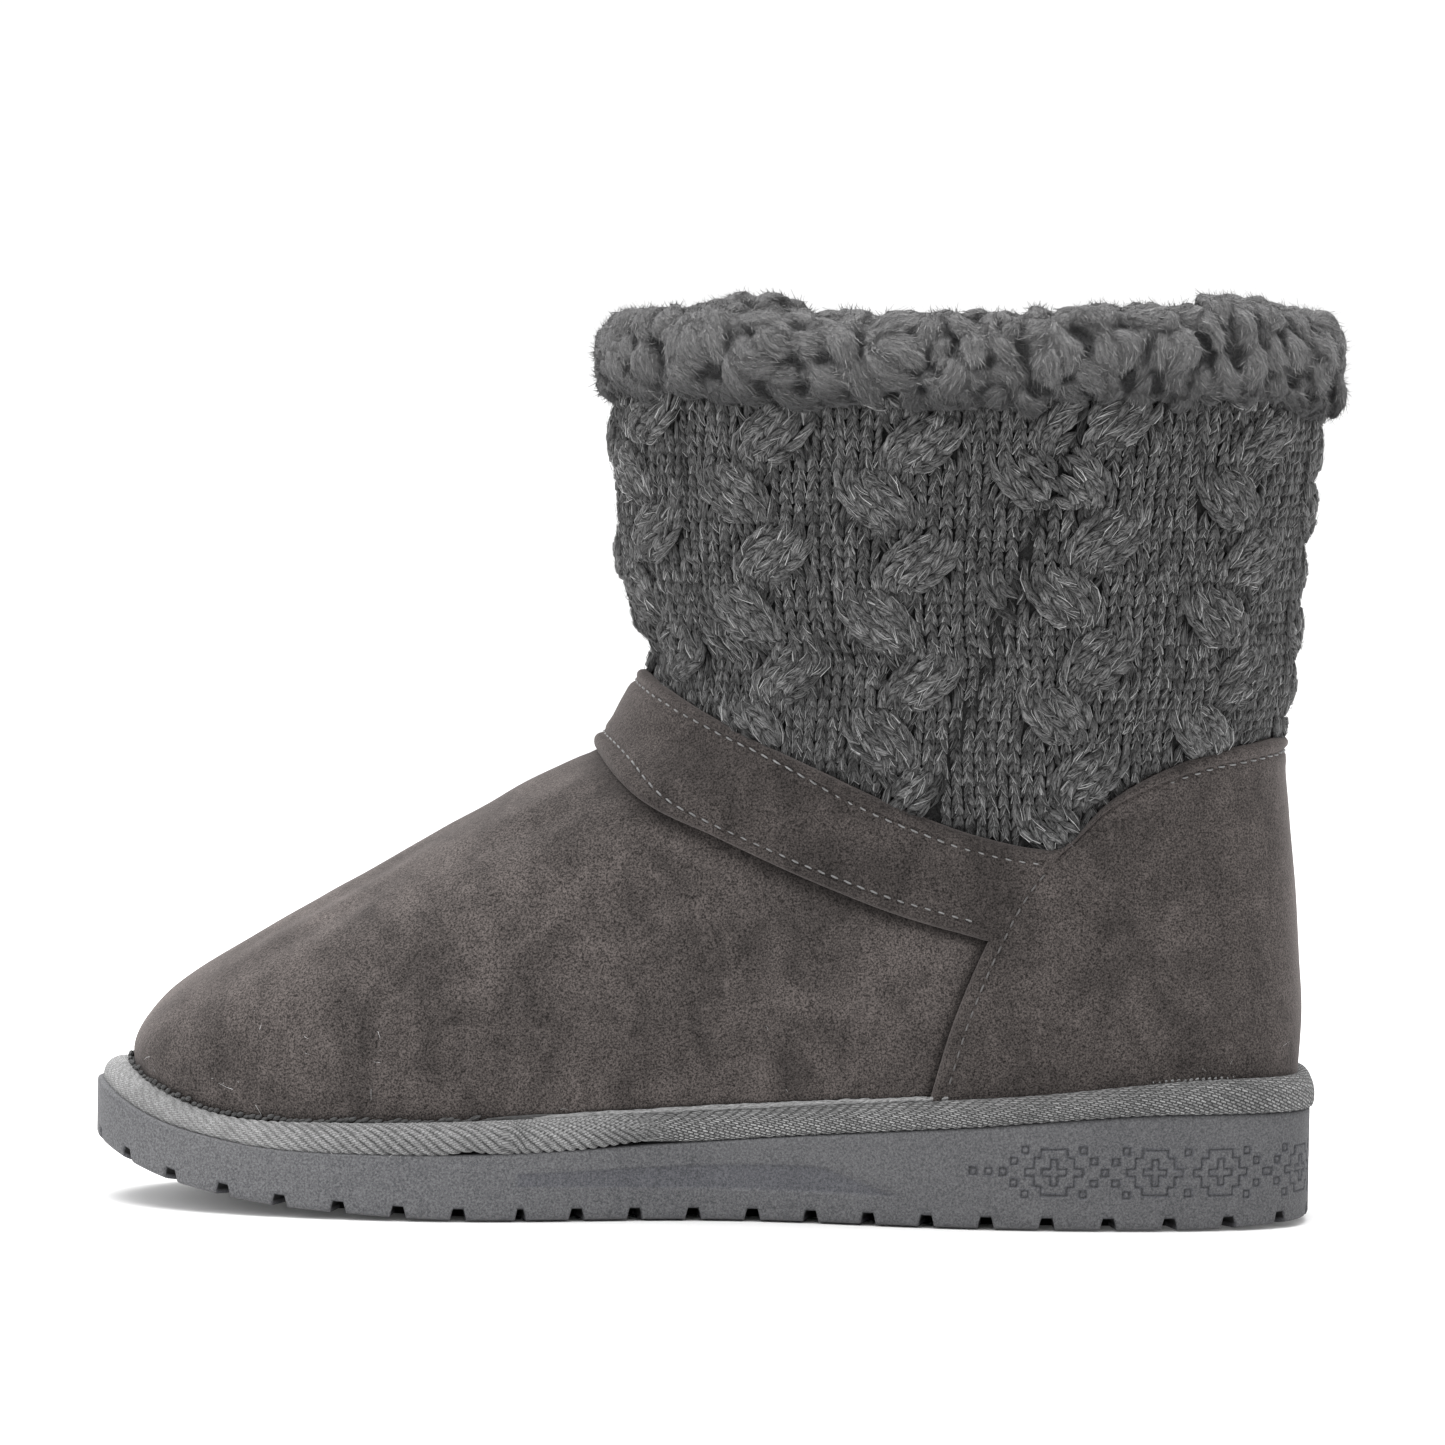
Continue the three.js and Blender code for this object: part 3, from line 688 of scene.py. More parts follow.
def sole_wall():
    """The outsole's side wall with its ornament and wedges, up to its rounded top edge."""
    start = sole_length(MOTIF_START_X) - MOTIF_REACH
    plain = np.linspace(0, start, 130)
    fine = np.linspace(start, SOLE_ROUND - start, int((SOLE_ROUND - 2 * start) / FINE_COLUMN))
    length = np.concatenate([plain, fine[1:], SOLE_ROUND - plain[::-1][1:-1]])
    turn = sole_turn(length)
    x = sole_point(turn)[0]
    low = smooth(SOLE_BOTTOM, x) + EDGE_HEIGHT
    high = smooth(SOLE_TOP, x)
    share = np.concatenate([np.linspace(0, 0.95, 52), [0.975, 1.0]])
    height = low[:, None] + share * (high - low)[:, None]
    wide = np.broadcast_to(length[:, None], height.shape)
    cut = ornament(wide, height)
    sunk = wedge(np.broadcast_to(x[:, None], height.shape), height)
    sunk = sunk * (np.abs(wide - SOLE_ROUND / 2) > HEEL_REACH)
    round_top = np.interp(share, [0.95, 0.975, 1.0], [0, 0.15, 0.6])
    out = -GROOVE_DEPTH * cut - WEDGE_DEPTH * sunk - round_top
    px, py = sole_point(turn[:, None], out)
    points = np.stack([px, py, height], -1)
    inner_x, inner_y = sole_point(turn, -9)
    points = np.concatenate([points, np.stack([inner_x, inner_y, high], -1)[:, None]], 1)
    piece = grid_object("outsole_wall", points, RUBBER, closed=True)
    # Painted shade in the engraved ornament and the sunk wedge
    mark(piece, "painted_shade", np.pad(np.maximum(ENGRAVED_SHADE * cut, WEDGE_SHADE * sunk), ((0, 0), (0, 1))))
    return piece


def sole_bed():
    """The tread's middle and the sole's top, which close the outsole inside its edge."""
    turn = np.linspace(0, 0.5, 121)
    side = np.linspace(0, 1, 9)
    for name, line, out in (("outsole_tread", SOLE_BOTTOM, -17.9), ("outsole_top", SOLE_TOP, -8.9)):
        x1, y1 = sole_point(turn, out)
        x2, y2 = sole_point(1 - turn, out)
        x = x1[:, None] * (1 - side) + x2[:, None] * side
        y = y1[:, None] * (1 - side) + y2[:, None] * side
        points = np.stack([x, y, smooth(line, x)], -1)
        if line is SOLE_TOP:
            points = points[:, ::-1]
        grid_object(name, points, RUBBER)


sole_edge()
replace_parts(sole_wall(), "outsole")
sole_bed()


# Platform wrapped in twill tape

TAPE_COLUMNS, TAPE_ROWS, TAPE_WIDTH = 1150, 30, 16.0
RIB_PITCH, RIB_SLANT, RIB_SLANT_BEHIND, RIB_HEIGHT, RIB_HEIGHT_BEHIND = 2.7, 0.95, 1.6, 0.32, 0.15
JOIN_X, JOIN_REACH = -13.0, 12.0     # where the tape's ends overlap on the medial side
TAPE_PROFILE = [  # way across the tape, share of the way in to the foot, share of the way up
    (0.0, 0.10, 0.0), (0.08, 0.0, 0.03), (0.16, -0.05, 0.14), (0.24, -0.07, 0.3), (0.32, -0.06, 0.46),
    (0.4, -0.02, 0.62), (0.48, 0.06, 0.77), (0.56, 0.16, 0.89), (0.64, 0.3, 0.98), (0.72, 0.46, 1.03),
    (0.8, 0.64, 1.04), (0.88, 0.82, 1.0), (0.95, 0.96, 0.94), (1.0, 1.06, 0.8),
]
# Where the tape lifts off the sole on the medial side: length x, reach and height
TAPE_GAPS = [(-54, 4, 0.8), (-15.5, 8, 0.9)]
# How far the tape stands out from the sole: length x, step out
TAPE_OUT = [(-142.6, -1.9), (-125, -1.3), (-80, -0.5), (60, 0.0), (120, 0.4), (137, 0.5)]
FRAYS, FRAYED_BEFORE_X = 700, -70.0    # loose ends along the tape's lower edge, and where they stop


def tape():
    """The tape round the platform with its slanting ribs. Returns points just above its lower edge."""
    length = np.arange(TAPE_COLUMNS) / TAPE_COLUMNS * SOLE_ROUND
    turn = sole_turn(length)
    low_x, low_y = sole_point(turn, smooth(TAPE_OUT, sole_point(turn)[0]))
    base = smooth(SOLE_TOP, low_x) + 0.1
    for gap_x, gap_reach, gap_height in TAPE_GAPS:
        base = base + gap_height * bell((low_x - gap_x) / gap_reach) * (turn < 0.5)
    rise = height_on_line(turn, FEATHER_LINE)
    wall = face_place(turn, rise)
    profile = np.array(TAPE_PROFILE)
    fine = np.linspace(0, 1, TAPE_ROWS)
    share_in, share_up = smooth(profile[:, :2], fine), smooth(profile[:, [0, 2]], fine)
    outer = np.stack([low_x, low_y], -1)
    points = np.concatenate([
        outer[:, None] + (wall[:, :2] - outer)[:, None] * share_in[None, :, None],
        (base[:, None] + (rise - base)[:, None] * share_up)[..., None],
    ], -1)
    across = fine * TAPE_WIDTH
    # Behind the join the ribs lie down and then rise again towards the heel, at the join they swirl, and
    # round the toe they are calm and flat
    after = length - sole_length(JOIN_X)
    behind = step_up(0.5 + after / JOIN_REACH) * (1 - step_up((length - SOLE_ROUND * 0.55) / 80))
    slant = RIB_SLANT + RIB_SLANT_BEHIND * behind * np.exp(-np.clip(after, 0, None) / 55)
    at_join = bell(after / JOIN_REACH)[:, None]
    swirl = 3.2 * at_join * (1 - ((across - TAPE_WIDTH * 0.45) / (TAPE_WIDTH * 0.5)) ** 2)
    ribs = round(SOLE_ROUND / RIB_PITCH)
    crease = np.sin(2 * np.pi * ribs * (length[:, None] + slant[:, None] * across + swirl) / SOLE_ROUND)
    crease = 1 - 2 * ((1 - crease) / 2) ** 2.2
    along = np.roll(points, -1, 0) - np.roll(points, 1, 0)
    normal = unit(np.cross(along, np.gradient(points, axis=1)))
    calm = 0.4 + 0.6 * step_up((np.minimum(length, SOLE_ROUND - length) - 30) / 60)[:, None]
    rib_height = (RIB_HEIGHT + (RIB_HEIGHT_BEHIND - RIB_HEIGHT) * behind[:, None]) * calm
    puffed = rib_height * crease + 0.5 * (at_join + 0.25 * noise(points, 14, 21)) * np.sin(np.pi * fine)
    points = points + normal * puffed[..., None]
    piece = grid_object("platform_tape", points, TAPE, closed=True,
                        uvs=grid_uvs(np.append(length, SOLE_ROUND), across))
    # Painted shade in the ribs' creases and in the corner along the tape's top edge
    dark = step_up(-crease * 1.2) * (1 - 0.3 * behind[:, None]) * calm
    mark(piece, "painted_shade", np.maximum(dark, bell((fine - 1) / 0.05)))
    mark(piece, "behind", np.repeat(behind, TAPE_ROWS))
    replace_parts(piece, "platform")
    return points[:, 1]


def tape_frays(edge):
    """Pale loose ends along the tape's lower edge, round the toe."""
    toe = edge[edge[:, 0] < FRAYED_BEFORE_X]
    start = toe[rng.integers(0, len(toe), FRAYS)]
    share = np.linspace(0, 1, 3)[None, :, None]
    drift = rng.normal(0, 1, (FRAYS, 1, 3)) * (0.8, 0.5, 0.25) + (0, 0, -0.3)
    lines = start[:, None] + (0, 0, -0.1) + drift * share
    facing = rng.normal(0, 1, (FRAYS, 1, 3))
    fibres_object("tape_frays", lines, 0.16, facing, np.zeros(FRAYS), TAPE_FIBRE)


tape_frays(tape())


# Selvedge cord in the corner between tape and suede

SELVEDGE_LINKS, SELVEDGE_LINK_TURN, SELVEDGE_RADIUS = 420, 0.00375, 0.56
DARK_BEFORE_X = -40.0    # the cord is dark and uneven from the toe back to here


def selvedge():
    """Small overlapping links along the feather line."""
    turn = even_turns(SELVEDGE_LINKS + 1, 30)[:-1]
    ring = np.linspace(-0.5, 0.5, 5)
    turn = turn[:, None] + ring * SELVEDGE_LINK_TURN
    height = height_on_line(turn, FEATHER_LINE) + 0.55 + 0.8 * ring
    toe = face_place(turn, height)[:, 2, 0] < DARK_BEFORE_X
    jitter = rng.normal(0, 1, (SELVEDGE_LINKS, 1)) * np.where(toe, 0.3, 0.08)[:, None]
    lines = face_point(turn, height + jitter, 0.55 + 0.3 * np.cos(np.pi * ring))
    facing = face_normal(turn[:, 2:3], height[:, 2:3])
    radius = SELVEDGE_RADIUS * np.array([0.25, 0.9, 1.0, 0.9, 0.25])
    tubes_object("selvedge_cord", lines[~toe], radius, facing[~toe], 6, SELVEDGE)
    tubes_object("selvedge_toe", lines[toe], radius, facing[toe], 6, SELVEDGE_DARK)


selvedge()


# Suede foot

# Soft troughs of the worn-in foot: place (turn, height), direction, half length, half width and depth
CREASES = [
    (0.045, 74, 78, 26, 5.0, 0.7), (0.09, 66, 60, 24, 4.0, 0.55), (0.13, 88, 40, 18, 4.5, 0.6),
    (0.2, 60, 20, 22, 5.5, 0.45), (0.95, 76, -72, 26, 5.0, 0.7), (0.9, 64, -55, 24, 4.5, 0.5),
    (0.86, 86, -38, 20, 4.5, 0.6), (0.8, 58, -20, 22, 5.5, 0.45),
]


def creases(place):
    """How far the suede sinks in its soft troughs, with a low ridge beside each."""
    total = 0.0
    for turn, height, slope, reach, spread, depth in CREASES:
        center = face_place(np.array(turn), np.array(float(height)))
        normal = face_normal(np.array(turn), np.array(float(height)))
        level = unit(np.cross(np.array([0, 0, 1.0]), normal))
        upward = np.cross(normal, level)
        angle = math.radians(slope)
        along = math.cos(angle) * level + math.sin(angle) * upward
        over = np.cross(normal, along)
        step = place - center
        a, b = step @ along / reach, step @ over / spread
        near = bell(step @ normal / 30)
        bend = b - 0.5 * a * a
        total = total + depth * bell(a) * near * (bell(bend) - 0.6 * bell(bend - 1.7))
    return total


def counter_distance(place):
    """How far a point of the foot lies ahead of the heel counter's front edge, along the shoe."""
    return smooth(COUNTER_FRONT, place[..., 2]) - place[..., 0]


UNDER_OVERLAY = 0.75     # how far the suede is sunk under the strap and the heel counter


def foot():
    """The suede foot, with its soft creases and a gutter along the edges of strap and counter."""
    columns, rows = 420, 84
    turn = even_turns(columns + 1, 40)[:-1][:, None]
    low = height_on_line(turn[:, 0], FEATHER_LINE)[:, None] - 1.5
    high = height_on_line(turn[:, 0], SHAFT_SEAM)[:, None]
    height = low + np.linspace(0, 1, rows) ** 1.15 * (high - low)
    place = face_point(turn, height)
    under_strap = (height_on_line(turn[:, 0], STRAP_LOWER_EDGE)[:, None] - height) * 0.8
    ahead = counter_distance(place)
    ripple = 0.45 * noise(place, 24, 3) + 0.14 * noise(place, 8, 4) - creases(place)
    out = ripple * np.clip((height - low) / 6, 0, 1)
    for edge in (under_strap, ahead):
        gutter = -UNDER_OVERLAY * bell(edge / 1.6) + 0.55 * bell((edge - 6.5) / 3.5)
        out = out + gutter * (edge > 0) - UNDER_OVERLAY * (edge <= 0)
    out = np.where((under_strap <= 0) | (ahead <= 0), np.minimum(out, -UNDER_OVERLAY), out)
    points = face_point(turn, height, out - 0.35 * bell((height - low) / 2.2))
    piece = grid_object("foot_suede", points, SUEDE, closed=True)
    # Painted shade along the edges of the strap and heel counter, and at half strength just above the tape
    nearest = np.minimum(np.maximum(under_strap, 0), np.maximum(ahead, 0))
    mark(piece, "painted_shade", np.maximum(bell(nearest / 1.5), 0.5 * bell((height - low - 1.5) / 1.5)))
    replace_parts(piece, "upper")


LINT_FIBRES, LINT_HEIGHT = 50, 26.0      # pale fibres on the suede, up to this height above the tape


def suede_lint():
    """A few pale fibres caught on the suede above the tape."""
    turn = rng.uniform(0.04, 0.96, LINT_FIBRES)
    height = height_on_line(turn, FEATHER_LINE) + rng.uniform(2, LINT_HEIGHT, LINT_FIBRES)
    start, normal = face_point(turn, height, 0.1), face_normal(turn, height)
    share = np.linspace(0, 1, 5)[None, :, None]
    drift, bend = [rng.normal(0, spread, (LINT_FIBRES, 1, 3)) for spread in (1.1, 0.9)]
    lines = start[:, None] + normal[:, None] * 0.5 * share + drift * share + bend * share * share
    fibres_object("suede_lint", lines, 0.1, normal[:, None], np.zeros(LINT_FIBRES), TAPE_FIBRE)


foot()
suede_lint()


# Strap and heel counter

FOLD, STITCH_IN = 1.2, 3.4     # radius of a folded edge and how far inside it the stitches run


def panel_out(distance):
    """How far an overlay stands out at a distance from its edge: round fold, stitched dip, then flat."""
    fold = np.sqrt(np.clip(1 - (1 - np.clip(distance / FOLD, 0, 1)) ** 2, 0, 1))
    dip = 0.5 * bell((distance - STITCH_IN) / 0.75)
    puff = 0.4 * bell((distance - 1.7) / 1.0) + 0.2 * bell((distance - 5.6) / 1.6)
    return -0.7 + (OVERLAY + 0.7) * fold - dip + puff


def crowded(length, edges, coarse):
    """Places from 0 to length, close together within 5 mm of the ends that edges names."""
    near = np.array([0, 0.05, 0.15, 0.35, 0.7, 1.1, 1.6, 2.2, 2.8, 3.1, 3.4, 3.7, 4.0, 4.6])
    start = near if edges[0] else np.array([0.0])
    end = length - near[::-1] if edges[1] else np.array([length])
    middle = np.linspace(start[-1], end[0], max(3, int((end[0] - start[-1]) / coarse)))[1:-1]
    return np.concatenate([start, middle, end])


def strap_height(turn, share):
    """Height at a share of the way up the strap."""
    low = height_on_line(turn, STRAP_LOWER_EDGE)
    return low + share * (height_on_line(turn, SHAFT_SEAM) - low)


def counter_height(turn, share):
    """Height at a share of the way up the heel counter."""
    low = height_on_line(turn, FEATHER_LINE) - 1.0
    return low + share * (height_on_line(turn, SHAFT_SEAM) - low)


def turn_at_counter(height_of, share, shift=0.0):
    """Turns on the medial side where rows at these shares meet the heel counter's front edge."""
    low, high = np.full(share.shape, 0.02), np.full(share.shape, 0.48)
    for _ in range(24):
        middle = (low + high) / 2
        height = height_of(middle, share)
        ahead = plan_point(section_at(height), middle)[0] < smooth(COUNTER_FRONT, height) + shift
        low, high = np.where(ahead, middle, low), np.where(ahead, high, middle)
    return (low + high) / 2


def strap():
    """The saddle strap over the instep, which ends under the heel counter's front edges."""
    rows = crowded(36.0, (True, True), 1.6) / 36.0
    edge = turn_at_counter(strap_height, rows, 2.5)
    turn = (np.linspace(-1, 1, 361)[:, None] * edge) % 1.0
    height = strap_height(turn, rows)
    place = face_place(turn, height)
    width = np.linalg.norm(np.diff(place, axis=1), axis=-1).sum(1)[:, None]
    distance = np.minimum(rows, 1 - rows) * width
    points = face_point(turn, height, panel_out(distance) + 0.25 * noise(place, 15, 5))
    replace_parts(grid_object("strap_suede", points, SUEDE_STRAP), "strap")


def counter():
    """The heel counter, folded at its front and top edges, with a seam at the back."""
    rows = crowded(80.0, (False, True), 1.4) / 80.0
    edge = turn_at_counter(counter_height, rows)
    half = crowded(90.0, (True, False), 1.5)
    half = np.concatenate([half[:-1], 90.0 - np.array([0.9, 0.45])])
    steps = np.concatenate([half, [90.0], 180.0 - half[::-1]]) / 180.0
    turn = edge + steps[:, None] * (1 - 2 * edge)
    height = counter_height(turn, rows)
    place = face_place(turn, height)
    along = np.linalg.norm(np.diff(place, axis=0), axis=-1)
    from_front = np.concatenate([np.zeros((1, len(rows))), np.cumsum(along, 0)])
    from_end = from_front[-1] - from_front
    from_seam = np.abs(from_front - from_front[-1] / 2)
    up = np.linalg.norm(np.diff(place, axis=1), axis=-1)
    from_top = np.concatenate([np.cumsum(up[:, ::-1], 1)[:, ::-1], np.zeros((len(steps), 1))], 1)
    distance = np.minimum(np.minimum(from_front, from_end), from_top)
    out = panel_out(distance) + 0.3 * noise(place, 18, 6)
    out = out - 0.5 * bell(from_seam / 0.5) + 0.25 * bell(from_seam / 2.5)
    piece = grid_object("heel_counter_suede", face_point(turn, height, out), SUEDE_COUNTER)
    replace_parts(piece, "heel_counter")


strap()
counter()


# Stitches

STITCH, STITCH_PITCH, STITCH_RADIUS = 2.3, 3.2, 0.22


def stitch_lines(turn, height, pitch=STITCH_PITCH, rise=0.12):
    """Centre lines of stitches along a row given by its turns and heights, and the way that each faces."""
    out = OVERLAY - 0.35
    places, normals = face_point(turn, height, out), face_normal(turn, height)
    length = lengths_along(places)
    start = np.arange(0.6, length[-1] - STITCH, pitch)
    ring = np.linspace(0, 1, 5)
    at = (start[:, None] + ring * STITCH).ravel()
    pick = [np.stack([np.interp(at, length, values[:, k]) for k in range(3)], -1)
            for values in (places, normals)]
    lines, facing = [values.reshape(len(start), 5, 3) for values in pick]
    arch = -0.35 + 0.6 * np.sin(np.pi * ring) ** 0.6
    lines = lines + unit(facing) * arch[None, :, None]
    lines[..., 2] += rise * (1 - 2 * ring) + rng.uniform(-0.08, 0.08, (len(start), 1))
    return lines, facing


def stitches():
    """Rows of stitches inside both edges of the strap and the top and front edges of the counter."""
    rows = []
    turn = np.linspace(-1, 1, 1201)
    for share in (0, 1):
        edge = turn_at_counter(strap_height, np.array([float(share)]), -1.0)[0]
        way = (turn * edge) % 1.0
        low, high = height_on_line(way, STRAP_LOWER_EDGE), height_on_line(way, SHAFT_SEAM)
        width = np.linalg.norm(face_place(way, high) - face_place(way, low), axis=-1)
        inside = STITCH_IN / width
        rows.append(stitch_lines(way, low + (high - low) * (inside if share == 0 else 1 - inside)))
    front = turn_at_counter(counter_height, np.array([1.0]))[0]
    way = np.linspace(front + 0.012, 1 - front - 0.012, 1201)
    rows.append(stitch_lines(way, height_on_line(way, SHAFT_SEAM) - STITCH_IN * 1.02))
    light = len(rows)
    for flip in (False, True):
        share = np.linspace(0.07, 0.93, 401)
        way = turn_at_counter(counter_height, share)
        height = counter_height(way, share)
        beside = np.linalg.norm(face_place(way + 0.001, height) - face_place(way, height), axis=-1) / 0.001
        way = way + STITCH_IN / beside
        rows.append(stitch_lines(1 - way if flip else way, height, rise=0.0))
    radius = STITCH_RADIUS * np.array([0.2, 0.95, 1.0, 0.95, 0.2])
    parts = (("stitches", rows[:light], THREAD), ("front_stitches", rows[light:], THREAD_DARK))
    for name, part, finish in parts:
        lines = np.concatenate([row[0] for row in part])
        facing = np.concatenate([row[1] for row in part])
        tubes_object(name, lines, radius, facing, 6, finish)


stitches()


# Knit shaft

SHAFT_TURNS = np.linspace(0, 1, 4001)
SHAFT_LENGTHS = lengths_along(face_place(SHAFT_TURNS, 150.0))
SHAFT_ROUND = SHAFT_LENGTHS[-1]

WALE, COURSE = 2.95, 2.45              # width and height of a stitch
STRAND = 9.3                           # width of each of a plait's three strands
PLAIT_PERIOD = 27.0
PLAIT_START = 139.5                    # height of the middle of a left strand's crossing
FRONT_PLAITS = 122.8 - 33.5 * np.arange(7, -1, -1)
BACK_PLAITS = 132.0 + 39.0 * np.arange(5)
PANEL_OVERLAP = 16.0                   # how far columns are laid past the seam that cuts them
CROSS_START = 0.06                     # share of a crossing before its strand starts to move over
LOBE_LIFT = 1.8                        # how far a strand rises where it crosses over
KNIT_SUNK = 2.1                        # how far the knit's ground lies inside the shaft's face
THROAT = 124.0                         # below this height the columns keep their length x
SEAM_LEVEL, SEAM_AT_LEVEL, SEAM_SLANT = 143.0, 114.5, 0.335    # height, length round the shaft, slope
KNIT_BOTTOM = 84.0                     # height of the lowest course of stitches
SEAM_GAP, SEAM_TUCK = 0.25, 0.6        # gap beside a side seam, and reach below the shaft's lower seam
HIDDEN_LAYER = -0.8                    # stitches this far under another strand are left out
LEG_PROFILE = np.array([0.35, 1.0, 0.95, 0.2])    # radius along a stitch's leg
KNIT_FUZZ = 28000                      # number of loose fibres

# Soft body under a crossing strand: rings, sides, radius, flatness and depth under the strand
CORE_RINGS, CORE_SIDES, CORE_RADIUS, CORE_FLAT, CORE_SUNK = 9, 10, 4.3, 0.42, 1.0


def shaft_turn(length):
    """Turn at a length round the shaft from its front, measured half way up it."""
    return np.interp(np.mod(length, SHAFT_ROUND), SHAFT_LENGTHS, SHAFT_TURNS)


def side_seam(height):
    """Length round the shaft of the slanting medial seam between the front and back panels."""
    return SEAM_AT_LEVEL + SEAM_SLANT * (height - SEAM_LEVEL)


def plait_phase(center):
    """Height of the middle of a left strand's crossing, which differs a little from plait to plait."""
    return PLAIT_START + 4.5 * np.sin(center * 0.11)


def plait_strand(strand, height, phase):
    """Sideways place from -1 to 1, its slope and the layer of one of three plaited strands, going down."""
    steps = (phase - height) / (PLAIT_PERIOD / 2) + 0.5
    step = np.floor(steps)
    part = steps - step
    kind = ((step + 2 * strand) % 6).astype(int)
    start = np.array([-1, 0, 1, 1, 0, -1])[kind]
    move = np.array([1, 1, 0, -1, -1, 0])[kind]
    layer = np.array([1, -1, 0, 1, -1, 0])[kind]
    over = np.clip((part - CROSS_START) / (1 - 2 * CROSS_START), 0, 1)
    slope = move * 6 * over * (1 - over) / (1 - 2 * CROSS_START) * STRAND / (PLAIT_PERIOD / 2)
    return start + move * step_up(over), slope, layer * np.sin(np.pi * part) ** 0.8


def wales():
    """Every column of stitches: centre of its plait or its own place, strand or -1, offset and panel."""
    table = []
    seam = side_seam(SEAM_LEVEL)
    reach = seam + PANEL_OVERLAP
    limits = ((-reach, reach), (seam - PANEL_OVERLAP, SHAFT_ROUND - seam + PANEL_OVERLAP))
    for panel, centers in enumerate((FRONT_PLAITS, BACK_PLAITS)):
        for center in centers:
            table += [(center, strand, k * STRAND / 3, panel) for strand in range(3) for k in (-1, 0, 1)]
        starts = np.append(limits[panel][0], centers + 1.5 * STRAND)
        ends = np.append(centers - 1.5 * STRAND, limits[panel][1])
        for start, end in zip(starts, ends):
            count = max(0, round((end - start) / WALE))
            table += [(start + (k + 0.5) * (end - start) / count, -1, 0.0, panel) for k in range(count)]
    return np.array(table)


def knit_turn(length, height):
    """Turn of a column of stitches at a height: columns hang upright, whatever the section below them."""
    level, throat, here = section_at(150.0), section_at(np.maximum(height, THROAT)), section_at(height)
    start = shaft_turn(length)
    x = plan_point(level, start)[0]
    share = (level["back"] - x) / (level["back"] - level["front"])
    x = x + (throat["front"] - level["front"]) * share ** 2 + (here["back"] - level["back"]) * (1 - share)
    forward = x < here["widest"]
    span = np.where(forward, here["widest"] - here["front"], here["back"] - here["widest"])
    reach = np.clip(np.abs(x - here["widest"]) / span, 0, 1)
    along = np.where(forward, 1, -1) * reach ** (np.where(forward, here["nose"], here["tail"]) / 2)
    turn = np.arccos(along) / (2 * np.pi)
    return np.where(start > 0.5, 1 - turn, turn)


def knit_place(center, strand, offset, height, phase):
    """Place round the shaft, height, lift and layer of a point of the knit."""
    side, slope, layer = plait_strand(np.maximum(strand, 0), height, phase)
    plaited = strand >= 0
    tilt = np.arctan(slope) * 0.8 * plaited
    offset = offset * (1 + 0.34 * plaited * np.clip(layer, 0, 1))
    length = center + plaited * side * STRAND + offset * np.cos(tilt)
    crown = 1 - (offset / STRAND * 1.3) ** 2
    lift = np.where(layer > 0, layer * LOBE_LIFT * np.clip(crown, 0, 1), layer * 0.9)
    lift = np.where(plaited, 0.75 + lift, 0.0) - KNIT_SUNK
    return length, height + offset * np.sin(tilt), lift, layer * plaited


